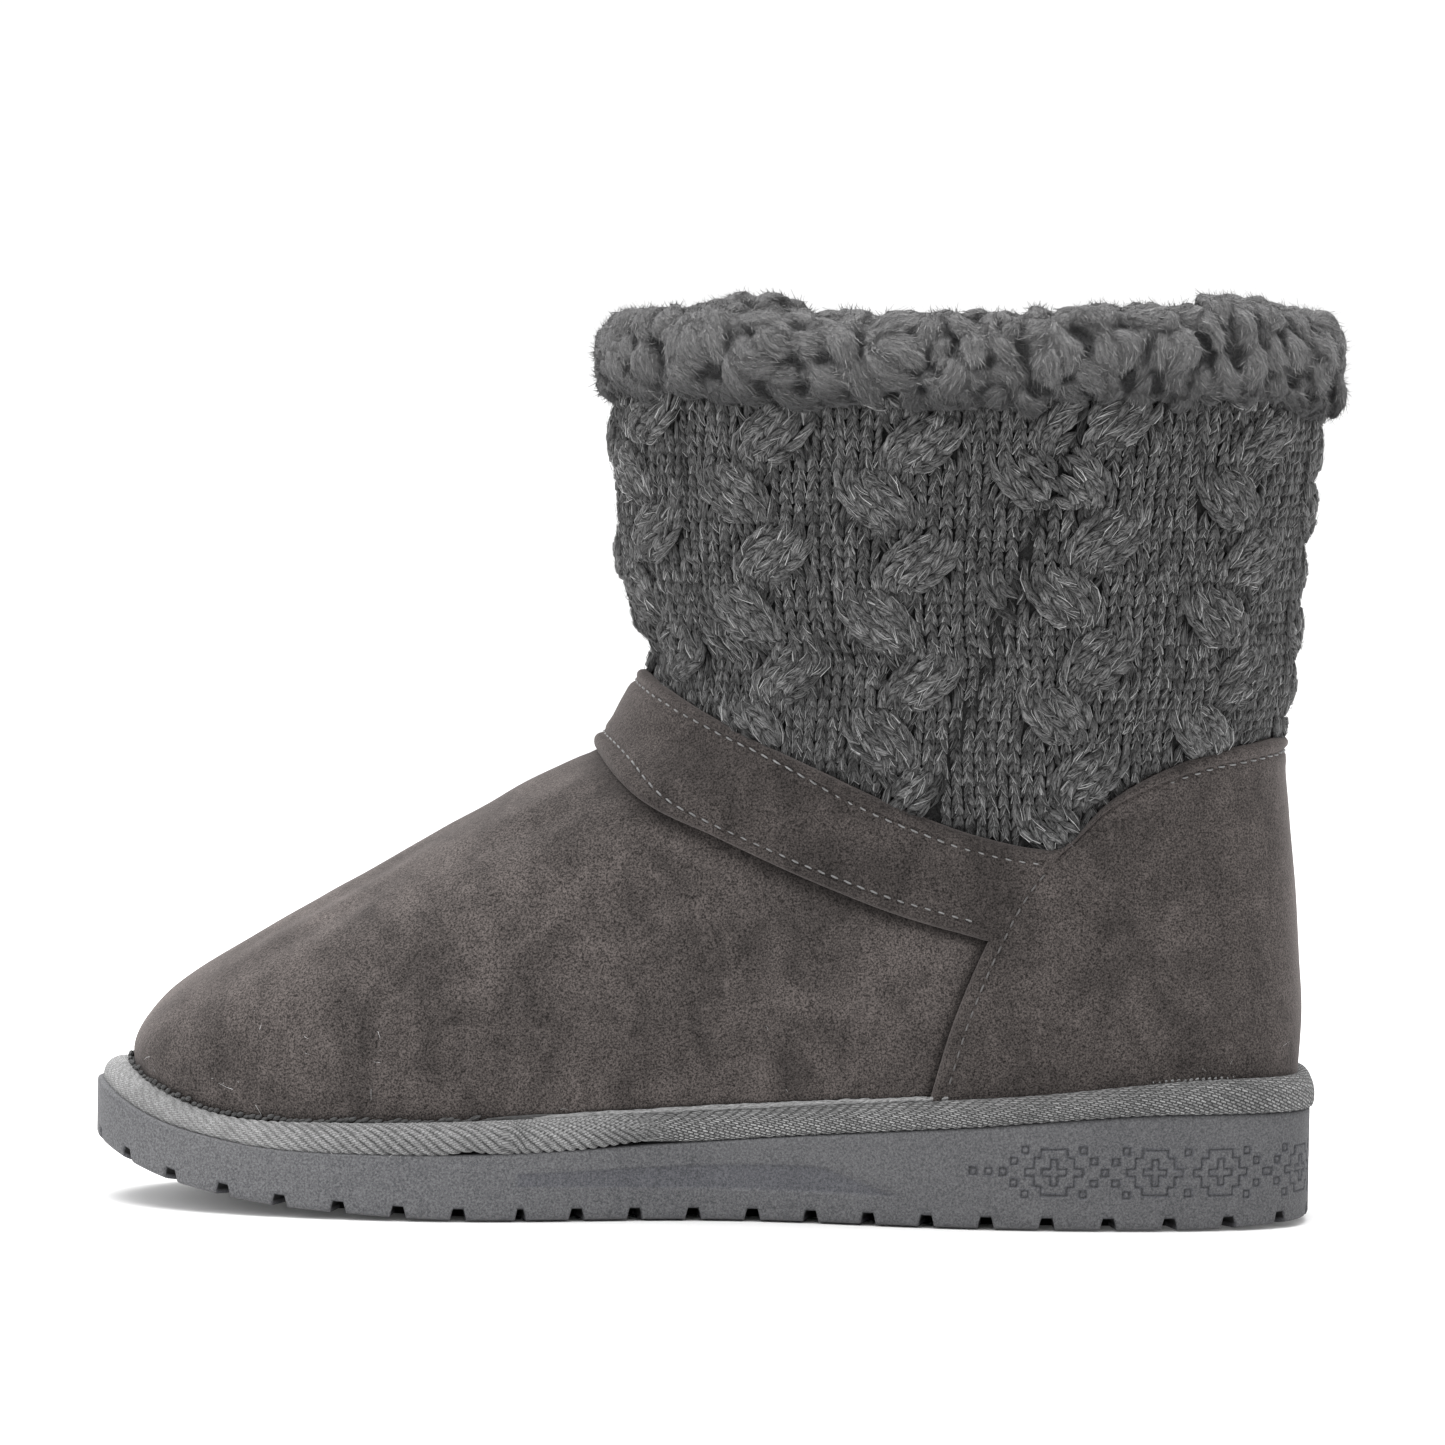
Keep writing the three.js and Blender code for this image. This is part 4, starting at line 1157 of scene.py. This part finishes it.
def knit_stitches():
    """Each stitch is two leaning legs, a V; the plaits' legs follow their strands."""
    column = wales()
    courses = np.arange(KNIT_BOTTOM, KNIT_TOP + COURSE, COURSE)
    center, strand, offset, panel = [np.repeat(values, 2 * len(courses)) for values in column.T]
    base = np.tile(np.repeat(courses, 2), len(column)) + rng.uniform(-0.2, 0.2, len(center))
    lean = np.tile([-1.0, 1.0], len(center) // 2)
    phase = plait_phase(center)
    u = np.linspace(0, 1, 4)
    height = base[:, None] + (u - 0.35) * COURSE * 1.6
    crossing = np.abs(plait_strand(np.maximum(strand, 0), base, phase)[2]) * (strand >= 0)
    leg = lean[:, None] * (0.08 + 0.5 * u ** 0.8) * WALE * (1 - 0.2 * crossing[:, None])
    leg = leg + rng.uniform(-0.2, 0.2, (len(center), 1))
    width = [values[:, None] for values in (center, strand, offset)]
    length, height, lift, layer = knit_place(width[0], width[1], width[2] + leg, height, phase[:, None])
    lift = lift + 0.8 * np.sin(np.pi * (0.12 + 0.76 * u)) - 0.25
    lift = lift + rng.uniform(-0.2, 0.2, (len(center), 1))

    # Panels stop at the side seams, where the fabric is drawn in
    level = height[:, 2]
    place = np.mod(length[:, 2], SHAFT_ROUND)
    seam, far_seam = side_seam(level), SHAFT_ROUND - side_seam(level)
    is_back = (place > seam) & (place < far_seam)
    from_seam = np.minimum(np.abs(place - seam), np.abs(place - far_seam))
    turn = knit_turn(length, height)
    low = height_on_line(turn[:, 2], SHAFT_SEAM)
    keep = (is_back == (panel > 0.5)) & (from_seam > SEAM_GAP) & (layer[:, 2] > HIDDEN_LAYER)
    keep &= (level > low - SEAM_TUCK) & (level < KNIT_TOP + 1)
    drawn = 1.3 * bell(from_seam / 1.2) + 1.0 * bell((level - low) / 1.6)
    lift = (lift - drawn[:, None])[keep]
    lines = face_point(turn[keep], height[keep], lift)
    facing = face_normal(turn[keep, 2:3], height[keep, 2:3])
    thick = (0.76 + 0.5 * np.clip(layer[keep, 2], 0, 1) ** 0.6) * rng.uniform(0.88, 1.12, keep.sum())
    radius = thick[:, None] * LEG_PROFILE
    # Painted light and shade: darker the further a stitch lies under other strands, least dark where it
    # crosses over, and darker beside the side seams and the shaft's lower seam; the random part is the yarn's
    # own uneven tone
    shade = 0.26 - 0.26 * np.clip(layer[:, 2], -1, 1) + rng.uniform(-0.1, 0.1, len(keep))
    shade = np.maximum(shade, np.maximum(0.85 * bell(from_seam / 1.5), 0.7 * bell((level - low) / 1.5)))[keep]
    half = len(lines) // 2
    for name, part in (("knit_stitches_front", slice(0, half)), ("knit_stitches_back", slice(half, None))):
        piece = tubes_object(name, lines[part], radius[part], facing[part], 5, KNIT)
        # Painted shade at the buried ends of each leg
        ends = shade[part][:, None] + np.array([0.3, 0.0, 0.05, 0.35])
        mark(piece, "painted_shade", np.repeat(ends.ravel(), 5))
    return lines, radius, facing, shade


def plait_crossings():
    """Panel, plait's centre, strand, phase and height of each place where a strand crosses over."""
    for panel, centers in enumerate((FRONT_PLAITS, BACK_PLAITS)):
        for center in centers:
            phase = plait_phase(center)
            for strand in range(3):
                for step in range(-8, 10):
                    middle = phase - step * PLAIT_PERIOD / 2
                    layer = plait_strand(strand, middle, phase)[2]
                    if layer >= 0.5 and KNIT_BOTTOM < middle < KNIT_TOP:
                        yield panel, center, strand, phase, middle


def plait_cores():
    """A soft body in the dark painted-shade yarn under each crossing strand, so that no gap opens between its
    stitches.
    """
    lines, facing = [], []
    half = CORE_RINGS // 2
    for panel, center, strand, phase, middle in plait_crossings():
        height = middle + np.linspace(0.46, -0.46, CORE_RINGS) * PLAIT_PERIOD / 2
        length, level, lift = knit_place(center, strand, 0.0, height, phase)[:3]
        turn = knit_turn(length, level)
        seam = side_seam(middle)
        place = np.mod(length[half], SHAFT_ROUND)
        from_seam = min(abs(place - seam), abs(place - SHAFT_ROUND + seam))
        is_back = seam < place < SHAFT_ROUND - seam
        low = height_on_line(turn, SHAFT_SEAM).max() + 2
        if is_back == bool(panel) and from_seam >= 6 and height.min() >= low and height.max() <= KNIT_TOP:
            lines.append(face_point(turn, level, lift - CORE_SUNK))
            facing.append(face_normal(turn[half], level[half])[None])
    radius = CORE_RADIUS * np.sin(np.pi * np.linspace(0.04, 0.96, CORE_RINGS)) ** 0.5
    tubes_object("plait_cores", np.array(lines), radius, np.array(facing), CORE_SIDES, KNIT_PAINTED_SHADE,
                 CORE_FLAT)


def loose_fibres(lines, radius, facing, tube, spans, spread, wander, start=0.05):
    """Short fibres that leave the surface of tubes: three or more points each, further out to the tip."""
    count, steps = len(tube), np.arange(spans + 1)
    pick = rng.integers(0, lines.shape[1] - spans, count)[:, None] + steps
    angle = rng.uniform(-0.1, np.pi + 0.1, count)[:, None]
    angle = angle + steps * rng.uniform(-0.5, 0.5, (count, 1))
    beside, above = tube_frames(lines, facing)[1:]
    one = (tube[:, None], pick)
    away = np.linspace(0, 1, spans + 1) ** 1.5
    reach = radius[one] + start + spread * rng.uniform(0.1, 1, (count, 1)) ** 2 * away
    way = np.cos(angle)[..., None] * beside[one] + np.sin(angle)[..., None] * above[one]
    drift = rng.normal(0, wander, (count, 1, 3)) * away[None, :, None]
    return lines[one] + way * reach[..., None] + drift


def knit_fuzz(lines, radius, facing, shade):
    """Fine loose fibres all over the knit."""
    hairy = rng.integers(0, len(shade), KNIT_FUZZ)
    fuzz = loose_fibres(lines, radius, facing, hairy, spans=2, spread=0.6, wander=0.3)
    turned = rng.normal(0, 1, (KNIT_FUZZ, 1, 3))
    fibres_object("knit_fuzz", fuzz, 0.17, turned, shade[hairy], KNIT_FIBRE)


def knit_base():
    """A dark sheet under the stitches: painted shade that shows in the gaps between them."""
    turn = even_turns(221, 150)[:-1][:, None]
    low = height_on_line(turn[:, 0], SHAFT_SEAM)[:, None] - 1
    height = low + np.linspace(0, 1, 26) * (KNIT_TOP - low)
    points = face_point(turn, height, -KNIT_SUNK - 0.4)
    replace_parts(grid_object("knit_base", points, KNIT_PAINTED_SHADE, closed=True), "knit_shaft")


knit_base()
knit = knit_stitches()
plait_cores()
knit_fuzz(*knit)


# Pile cuff

# Section of the cuff, from its outer lower edge up, over its top and down inside: step out, height
CUFF_SECTION = np.array([(-3.4, 188.5), (-0.4, 189.2), (0.8, 194.5), (-0.2, 202), (-4.2, 206.3),
                         (-8.2, 204.5), (-9.8, 197), (-9.2, 188.5)])
CUFF_HEIGHT = 197.0
CUFF_TOP = [  # length x, how far the cuff's top lies above its mean height
    (-30, -3.5), (-11, -2.5), (0, 0), (10, -0.7), (20, -2), (32, -3.8), (50, -2.4), (61, -2.8), (72, -1),
    (92, 1.2), (103, 0.5), (113, 3.6), (124, 0.6), (138, -0.5),
]

CUFF_TURNS = np.linspace(0, 1, 4001)
CUFF_LENGTHS = lengths_along(face_place(CUFF_TURNS, CUFF_HEIGHT))
CUFF_ROUND = CUFF_LENGTHS[-1]
CUFF_KNOTS = lengths_along(CUFF_SECTION)
CUFF_GIRTH = CUFF_KNOTS[-1]
CUFF_STEPS = np.linspace(0, CUFF_GIRTH, 400)
CUFF_OUTLINE = np.stack([smooth(np.stack([CUFF_KNOTS, values], -1), CUFF_STEPS)
                         for values in CUFF_SECTION.T], -1)
CUFF_AHEAD = unit(np.gradient(CUFF_OUTLINE, axis=0))
CUFF_OUTWARD = np.stack([CUFF_AHEAD[:, 1], -CUFF_AHEAD[:, 0]], -1)


def cuff_point(length, girth, lift):
    """Point of the cuff at a length round it and a way up its section, lifted off it."""
    length, girth, lift = np.broadcast_arrays(length, girth, lift)
    turn = np.interp(np.mod(length, CUFF_ROUND), CUFF_LENGTHS, CUFF_TURNS)
    out, height, push, raise_ = [
        np.interp(girth, CUFF_STEPS, values) for values in (*CUFF_OUTLINE.T, *CUFF_OUTWARD.T)]
    place = np.mod(length, CUFF_ROUND)
    droop = 5.0 * bell((place - 206) / 7) + 3.2 * bell((place - 121) / 4)
    droop = droop * np.clip((200 - height) / 14, 0, 1)
    level = np.full(np.shape(turn), CUFF_HEIGHT)
    out = out + 2.0 * bell((place - CUFF_ROUND / 2) / 30)
    points = face_point(turn, level, out + lift * push)
    near = points[..., 1] < 0
    top = smooth(CUFF_TOP, points[..., 0]) - 3.0 * near * bell((points[..., 0] - 4) / 9)
    points[..., 2] = height + lift * raise_ + top * np.clip((height - 186) / 22, 0, 1) - droop
    return points


LOCK_ROWS, LOCK_STEP, LOCK_RINGS = 7, 7.2, 9
DEEP_ROUNDS, FINE_ROUNDS = 40, 7    # rounds of averaging that find the clefts of locks and of crimps
WOOL_GRAIN = 1.0         # size of the cells in which locks and base melt into one woolly surface


def cuff_base():
    """The closed lumpy ring under the locks."""
    length = np.linspace(0, CUFF_ROUND, 241)[:-1][:, None]
    girth = np.linspace(0, CUFF_GIRTH, 44)
    place = cuff_point(length, girth, 0.0)
    points = cuff_point(length, girth, 0.5 + 0.9 * noise(place, 6, 9))
    return mesh_object("cuff_base", points, grid_faces(240, 44, True, True), PILE)


def cuff_locks():
    """Leaf shaped locks on the cuff: long slanting ones at the toe's side, upright ones behind."""
    columns = int(CUFF_ROUND / LOCK_STEP)
    i, j = np.indices((columns, LOCK_ROWS)).reshape(2, -1)
    count = len(i)
    length = (i + 0.5 * (j % 2) + rng.uniform(-0.4, 0.4, count)) * CUFF_ROUND / columns
    girth = 1.0 + (j + rng.uniform(-0.3, 0.3, count)) * (CUFF_GIRTH - 2) / (LOCK_ROWS - 1)
    upright = step_up((np.minimum(length, CUFF_ROUND - length) - 75) / 55)
    angle = np.radians(-36 - 36 * upright + rng.normal(0, 16 + 10 * upright, count))
    angle = np.where(length > CUFF_ROUND / 2, -angle, angle)
    reach = rng.uniform(16, 26, count) - 6 * upright
    curl = rng.normal(0, 0.05 + 0.12 * upright, count)
    thick = rng.uniform(2.9, 4.9, count) * (1 - 0.15 * upright)
    part = np.linspace(0, 1, LOCK_RINGS)
    heading = angle[:, None] + curl[:, None] * (part - 0.5) * reach[:, None]
    heading = heading + 0.35 * np.sin(part * 7 + length[:, None])
    step = reach[:, None] / (LOCK_RINGS - 1)
    along = np.cumsum(np.cos(heading) * step, 1)
    climb = np.cumsum(np.sin(heading) * step, 1)
    middle = LOCK_RINGS // 2
    along, climb = along - along[:, middle, None], climb - climb[:, middle, None]
    lift = -1.9 + rng.uniform(1.2, 4.0, (count, 1)) * np.sin(np.pi * part ** 1.2)
    way = np.clip(girth[:, None] + climb, 1.5, CUFF_GIRTH - 1.5)
    lines = cuff_point(length[:, None] + along, way, lift)
    outer, inner = [cuff_point(length[:, None], girth[:, None], rise) for rise in (1.0, 0.0)]
    taper = np.maximum(np.sin(np.pi * part ** 0.85), 0.0) ** 0.75
    radius = thick[:, None] * taper * (1 + 0.14 * np.sin(part * 11 + girth[:, None])) + 0.02
    return lines, radius, outer - inner


def read_mesh(mesh):
    """Points in millimetres, normals, quads and edges of a mesh, as arrays."""
    points, normals = np.empty(len(mesh.vertices) * 3), np.empty(len(mesh.vertices) * 3)
    faces, edges = np.empty(len(mesh.polygons) * 4, int), np.empty(len(mesh.edges) * 2, int)
    mesh.vertices.foreach_get("co", points)
    mesh.vertex_normals.foreach_get("vector", normals)
    mesh.polygons.foreach_get("vertices", faces)
    mesh.edges.foreach_get("vertices", edges)
    return points.reshape(-1, 3) / MM, normals.reshape(-1, 3), faces.reshape(-1, 4), edges.reshape(-1, 2)


def sunk_below(points, normals, edges, rounds):
    """How far each point lies below the surface around it, which many rounds of averaging give."""
    point, other = np.concatenate([edges, edges[:, ::-1]]).T
    near = np.bincount(point, minlength=len(points))
    soft = points
    for _ in range(rounds):
        soft = np.stack([np.bincount(point, soft[other, k], len(points)) / near for k in range(3)], -1)
    return ((soft - points) * normals).sum(-1)


def lock_flow(points, lines, facing):
    """Place of each point in the frame of its nearest lock, and the way that lock runs there."""
    tree = KDTree(lines.shape[0] * lines.shape[1])
    for k, center in enumerate(lines.reshape(-1, 3)):
        tree.insert(center, k)
    tree.balance()
    nearest = np.array([tree.find(point)[1] for point in points])
    frames = np.stack(np.broadcast_arrays(*tube_frames(lines, facing)), -2).reshape(-1, 3, 3)[nearest]
    step = points - lines.reshape(-1, 3)[nearest]
    lengths = np.cumsum(np.linalg.norm(np.diff(lines, axis=1, prepend=lines[:, :1]), axis=-1), 1).ravel()
    place = np.einsum("ijk,ik->ij", frames, step)
    place[:, 0] += lengths[nearest]
    shift = rng.uniform(0, 400, (len(lines), 3))
    return place + shift[nearest // lines.shape[1]], frames[:, 0]


def cuff_wool(lines, radius, facing):
    """Locks and base melted into one closed woolly surface, streaked along the locks."""
    locks = tubes_object("cuff_tubes", lines, radius, facing, 12, PILE, flat=0.55, ridges=0.2)
    parts = [cuff_base(), locks]
    with bpy.context.temp_override(active_object=parts[0], selected_editable_objects=parts):
        bpy.ops.object.join()
    modifier = parts[0].modifiers.new("melt", "REMESH")
    modifier.mode, modifier.voxel_size = "VOXEL", WOOL_GRAIN * MM
    points, normals, faces, edges = read_mesh(
        parts[0].evaluated_get(bpy.context.evaluated_depsgraph_get()).to_mesh())
    bpy.data.objects.remove(parts[0])
    flow, along = lock_flow(points, lines, facing)
    deep, fine = [sunk_below(points, normals, edges, rounds) for rounds in (DEEP_ROUNDS, FINE_ROUNDS)]
    crimp = 0.55 * noise(flow * (0.16, 1, 1), 2.3, 15) + 0.3 * noise(flow * (0.3, 1, 1), 1.2, 14)
    crimp = crimp + 0.2 * noise(points, 2.6, 16)
    points = points + normals * (crimp - 0.5 * np.clip(deep, -0.6, 1.4))[:, None]
    # Painted light and shade: darker in the clefts of locks and crimps and low on the cuff where the wool
    # does not face up, a little lighter where it faces up
    under = np.clip((196 - points[:, 2]) / 10, 0, 1) * np.clip(0.6 - normals[:, 2], 0, 1)
    lit = 0.1 * np.clip(normals[:, 2], 0, 1)
    painted_shade = np.clip(0.95 * step_up(0.23 - lit + deep / 1.7 + fine / 0.42) + 0.8 * under, 0, 1)
    piece = mesh_object("cuff_wool", points, faces, PILE)
    mark(piece, "flow", flow, "FLOAT_VECTOR", "vector")
    mark(piece, "painted_shade", painted_shade)
    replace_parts(piece, "fur_cuff")
    return points, normals, along, painted_shade


def cuff_fibres(name, wool, count, knots, reach, rise, wander, width):
    """Fibres that lie along the locks and lift off towards their tips."""
    pick = rng.integers(0, len(wool[0]), count)
    points, normals, along, painted_shade = [values[pick] for values in wool]
    level = unit(along - normals * (along * normals).sum(-1, keepdims=True))
    share = np.linspace(0, 1, knots)[None, :, None]
    length = rng.uniform(0.4, 1, (count, 1, 1)) * reach
    height = rng.uniform(0, 1, (count, 1, 1)) ** 2.5 * rise + 0.2
    lines = points[:, None] + level[:, None] * length * share
    lines = lines + normals[:, None] * (height * share ** 1.3 - 0.08)
    lines = lines + rng.normal(0, wander, (count, 1, 3)) * share ** 1.5
    facing = normals[:, None] + rng.normal(0, 0.4, (count, 1, 3))
    # Each fibre takes most of the painted shade of the wool where it starts
    fibres_object(name, lines, width, facing, 0.8 * painted_shade, PILE_FIBRE)


wool = cuff_wool(*cuff_locks())
cuff_fibres("cuff_fibres", wool, count=36000, knots=3, reach=2.2, rise=1.3, wander=0.35, width=0.17)
cuff_fibres("cuff_strays", wool, count=500, knots=5, reach=3.2, rise=2.2, wander=1.1, width=0.08)


# Lining and footbed

def lining():
    """The pile inside the shaft and the foot, and the footbed."""
    turn = even_turns(201, 150)[:-1][:, None]
    low = height_on_line(turn[:, 0], FEATHER_LINE)[:, None]
    height = low + np.linspace(1, 0, 70) * (KNIT_TOP + 2 - low)
    seam = height_on_line(turn[:, 0], SHAFT_SEAM)[:, None]
    wall = FOOT_WALL + (SHAFT_WALL - FOOT_WALL) * np.clip((height - seam + 6) / 12, 0, 1)
    lumps = 0.9 * noise(face_point(turn, height, -wall), 5, 12)
    grid_object("lining_pile", face_point(turn, height, -wall + lumps), LINING, closed=True)

    edge = even_turns(141, 40, 0.0, 0.5)
    side = np.linspace(0, 1, 44)
    height = height_on_line(edge, FEATHER_LINE) + INSOLE_RISE
    a, b = face_point(edge, height, -FOOT_WALL), face_point(1 - edge, height, -FOOT_WALL)
    points = a[:, None] * (1 - side)[None, :, None] + b[:, None] * side[None, :, None]
    points[..., 2] += 0.6 * noise(points, 5, 13)
    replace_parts(grid_object("footbed_pile", points, LINING), "insole")


lining()


# Camera, floor and light

CAMERA_DISTANCE, CAMERA_HEIGHT = 2000.0, 228.0
CAMERA_AZIMUTH, CAMERA_ROLL, CAMERA_PITCH = math.radians(1.5), math.radians(1.0), math.radians(3.34)
PIXELS_PER_MM, PHOTO_WIDTH, SENSOR_WIDTH = 4.338, 1445, 36.0


def camera():
    """The photo's camera: nearly level, from the medial side."""
    data = bpy.data.cameras.new("camera")
    data.sensor_width = SENSOR_WIDTH
    data.lens = PIXELS_PER_MM * CAMERA_DISTANCE / PHOTO_WIDTH * SENSOR_WIDTH
    data.clip_start, data.clip_end = 0.1, 20
    back = Vector((math.sin(CAMERA_AZIMUTH) * math.cos(CAMERA_PITCH),
                   -math.cos(CAMERA_AZIMUTH) * math.cos(CAMERA_PITCH), math.sin(CAMERA_PITCH)))
    right = Vector((0, 0, 1)).cross(back).normalized()
    up = back.cross(right)
    turned = math.cos(CAMERA_ROLL) * right + math.sin(CAMERA_ROLL) * up
    piece = bpy.data.objects.new("camera", data)
    bpy.context.scene.collection.objects.link(piece)
    matrix = Matrix((turned, back.cross(turned), back)).transposed().to_4x4()
    matrix.translation = Vector((math.sin(CAMERA_AZIMUTH) * CAMERA_DISTANCE,
                                 -math.cos(CAMERA_AZIMUTH) * CAMERA_DISTANCE, CAMERA_HEIGHT)) * MM
    piece.matrix_world = matrix
    bpy.context.scene.camera = piece


# The floor glows a little to stay white, but not beside the boot: the dark oval's scale along the boot
# and across it, and the distances in that scale at which the glow starts and is full
OVAL, GLOW_START, GLOW_FULL = (4.0, 6.5, 0), 0.32, 0.8
FLOOR_HALF, FLOOR_LEVEL = 9000.0, -0.3


def floor():
    """A white floor just under the sole."""
    look = Look("floor_white", 0.6, Specular_IOR_Level=0.1, Emission_Strength=0.22)
    look.color(look.ramp(look.cloud(3, 2, 0.5), (0.3, grey(0.82)), (0.7, grey(0.84))))
    away = look.add("VectorMath", {0: look.place(OVAL)}, operation="LENGTH").outputs["Value"]
    glow = look.ramp(away, (GLOW_START, (0, 0, 0)), (GLOW_FULL, (1, 1, 1)))
    look.links.new(glow, look.shader.inputs["Emission Color"])
    points = [(x * FLOOR_HALF, y * FLOOR_HALF, FLOOR_LEVEL) for x, y in ((-1, -1), (1, -1), (1, 1), (-1, 1))]
    mesh = bpy.data.meshes.new("floor")
    mesh.from_pydata([Vector(p) * MM for p in points], [], [(0, 1, 2, 3)])
    mesh.materials.append(look.material)
    piece = bpy.data.objects.new("floor", mesh)
    bpy.context.scene.collection.objects.link(piece)


def lamp(name, place, aim, size, power):
    """A rectangular light at a place, in metres, that faces aim."""
    data = bpy.data.lights.new(name, "AREA")
    data.shape, data.size, data.size_y, data.energy = "RECTANGLE", size[0], size[1], power
    piece = bpy.data.objects.new(name, data)
    bpy.context.scene.collection.objects.link(piece)
    piece.location = place
    piece.rotation_mode = "QUATERNION"
    piece.rotation_quaternion = (Vector(aim) - Vector(place)).to_track_quat("-Z", "Y")


camera()
floor()
lamp("top_light", place=(-0.1, 0.05, 1.3), aim=(0, 0, 0.1), size=(1.6, 1.3), power=34)
lamp("front_light", place=(-1.1, -1.4, 0.9), aim=(0, 0, 0.1), size=(0.9, 0.9), power=4)
world = bpy.data.worlds.new("studio")
bpy.context.scene.world = world
world.use_nodes = True
background = world.node_tree.nodes["Background"].inputs
background["Color"].default_value = (1, 1, 1, 1)
background["Strength"].default_value = 1.02
bpy.context.scene.view_settings.view_transform = "Standard"
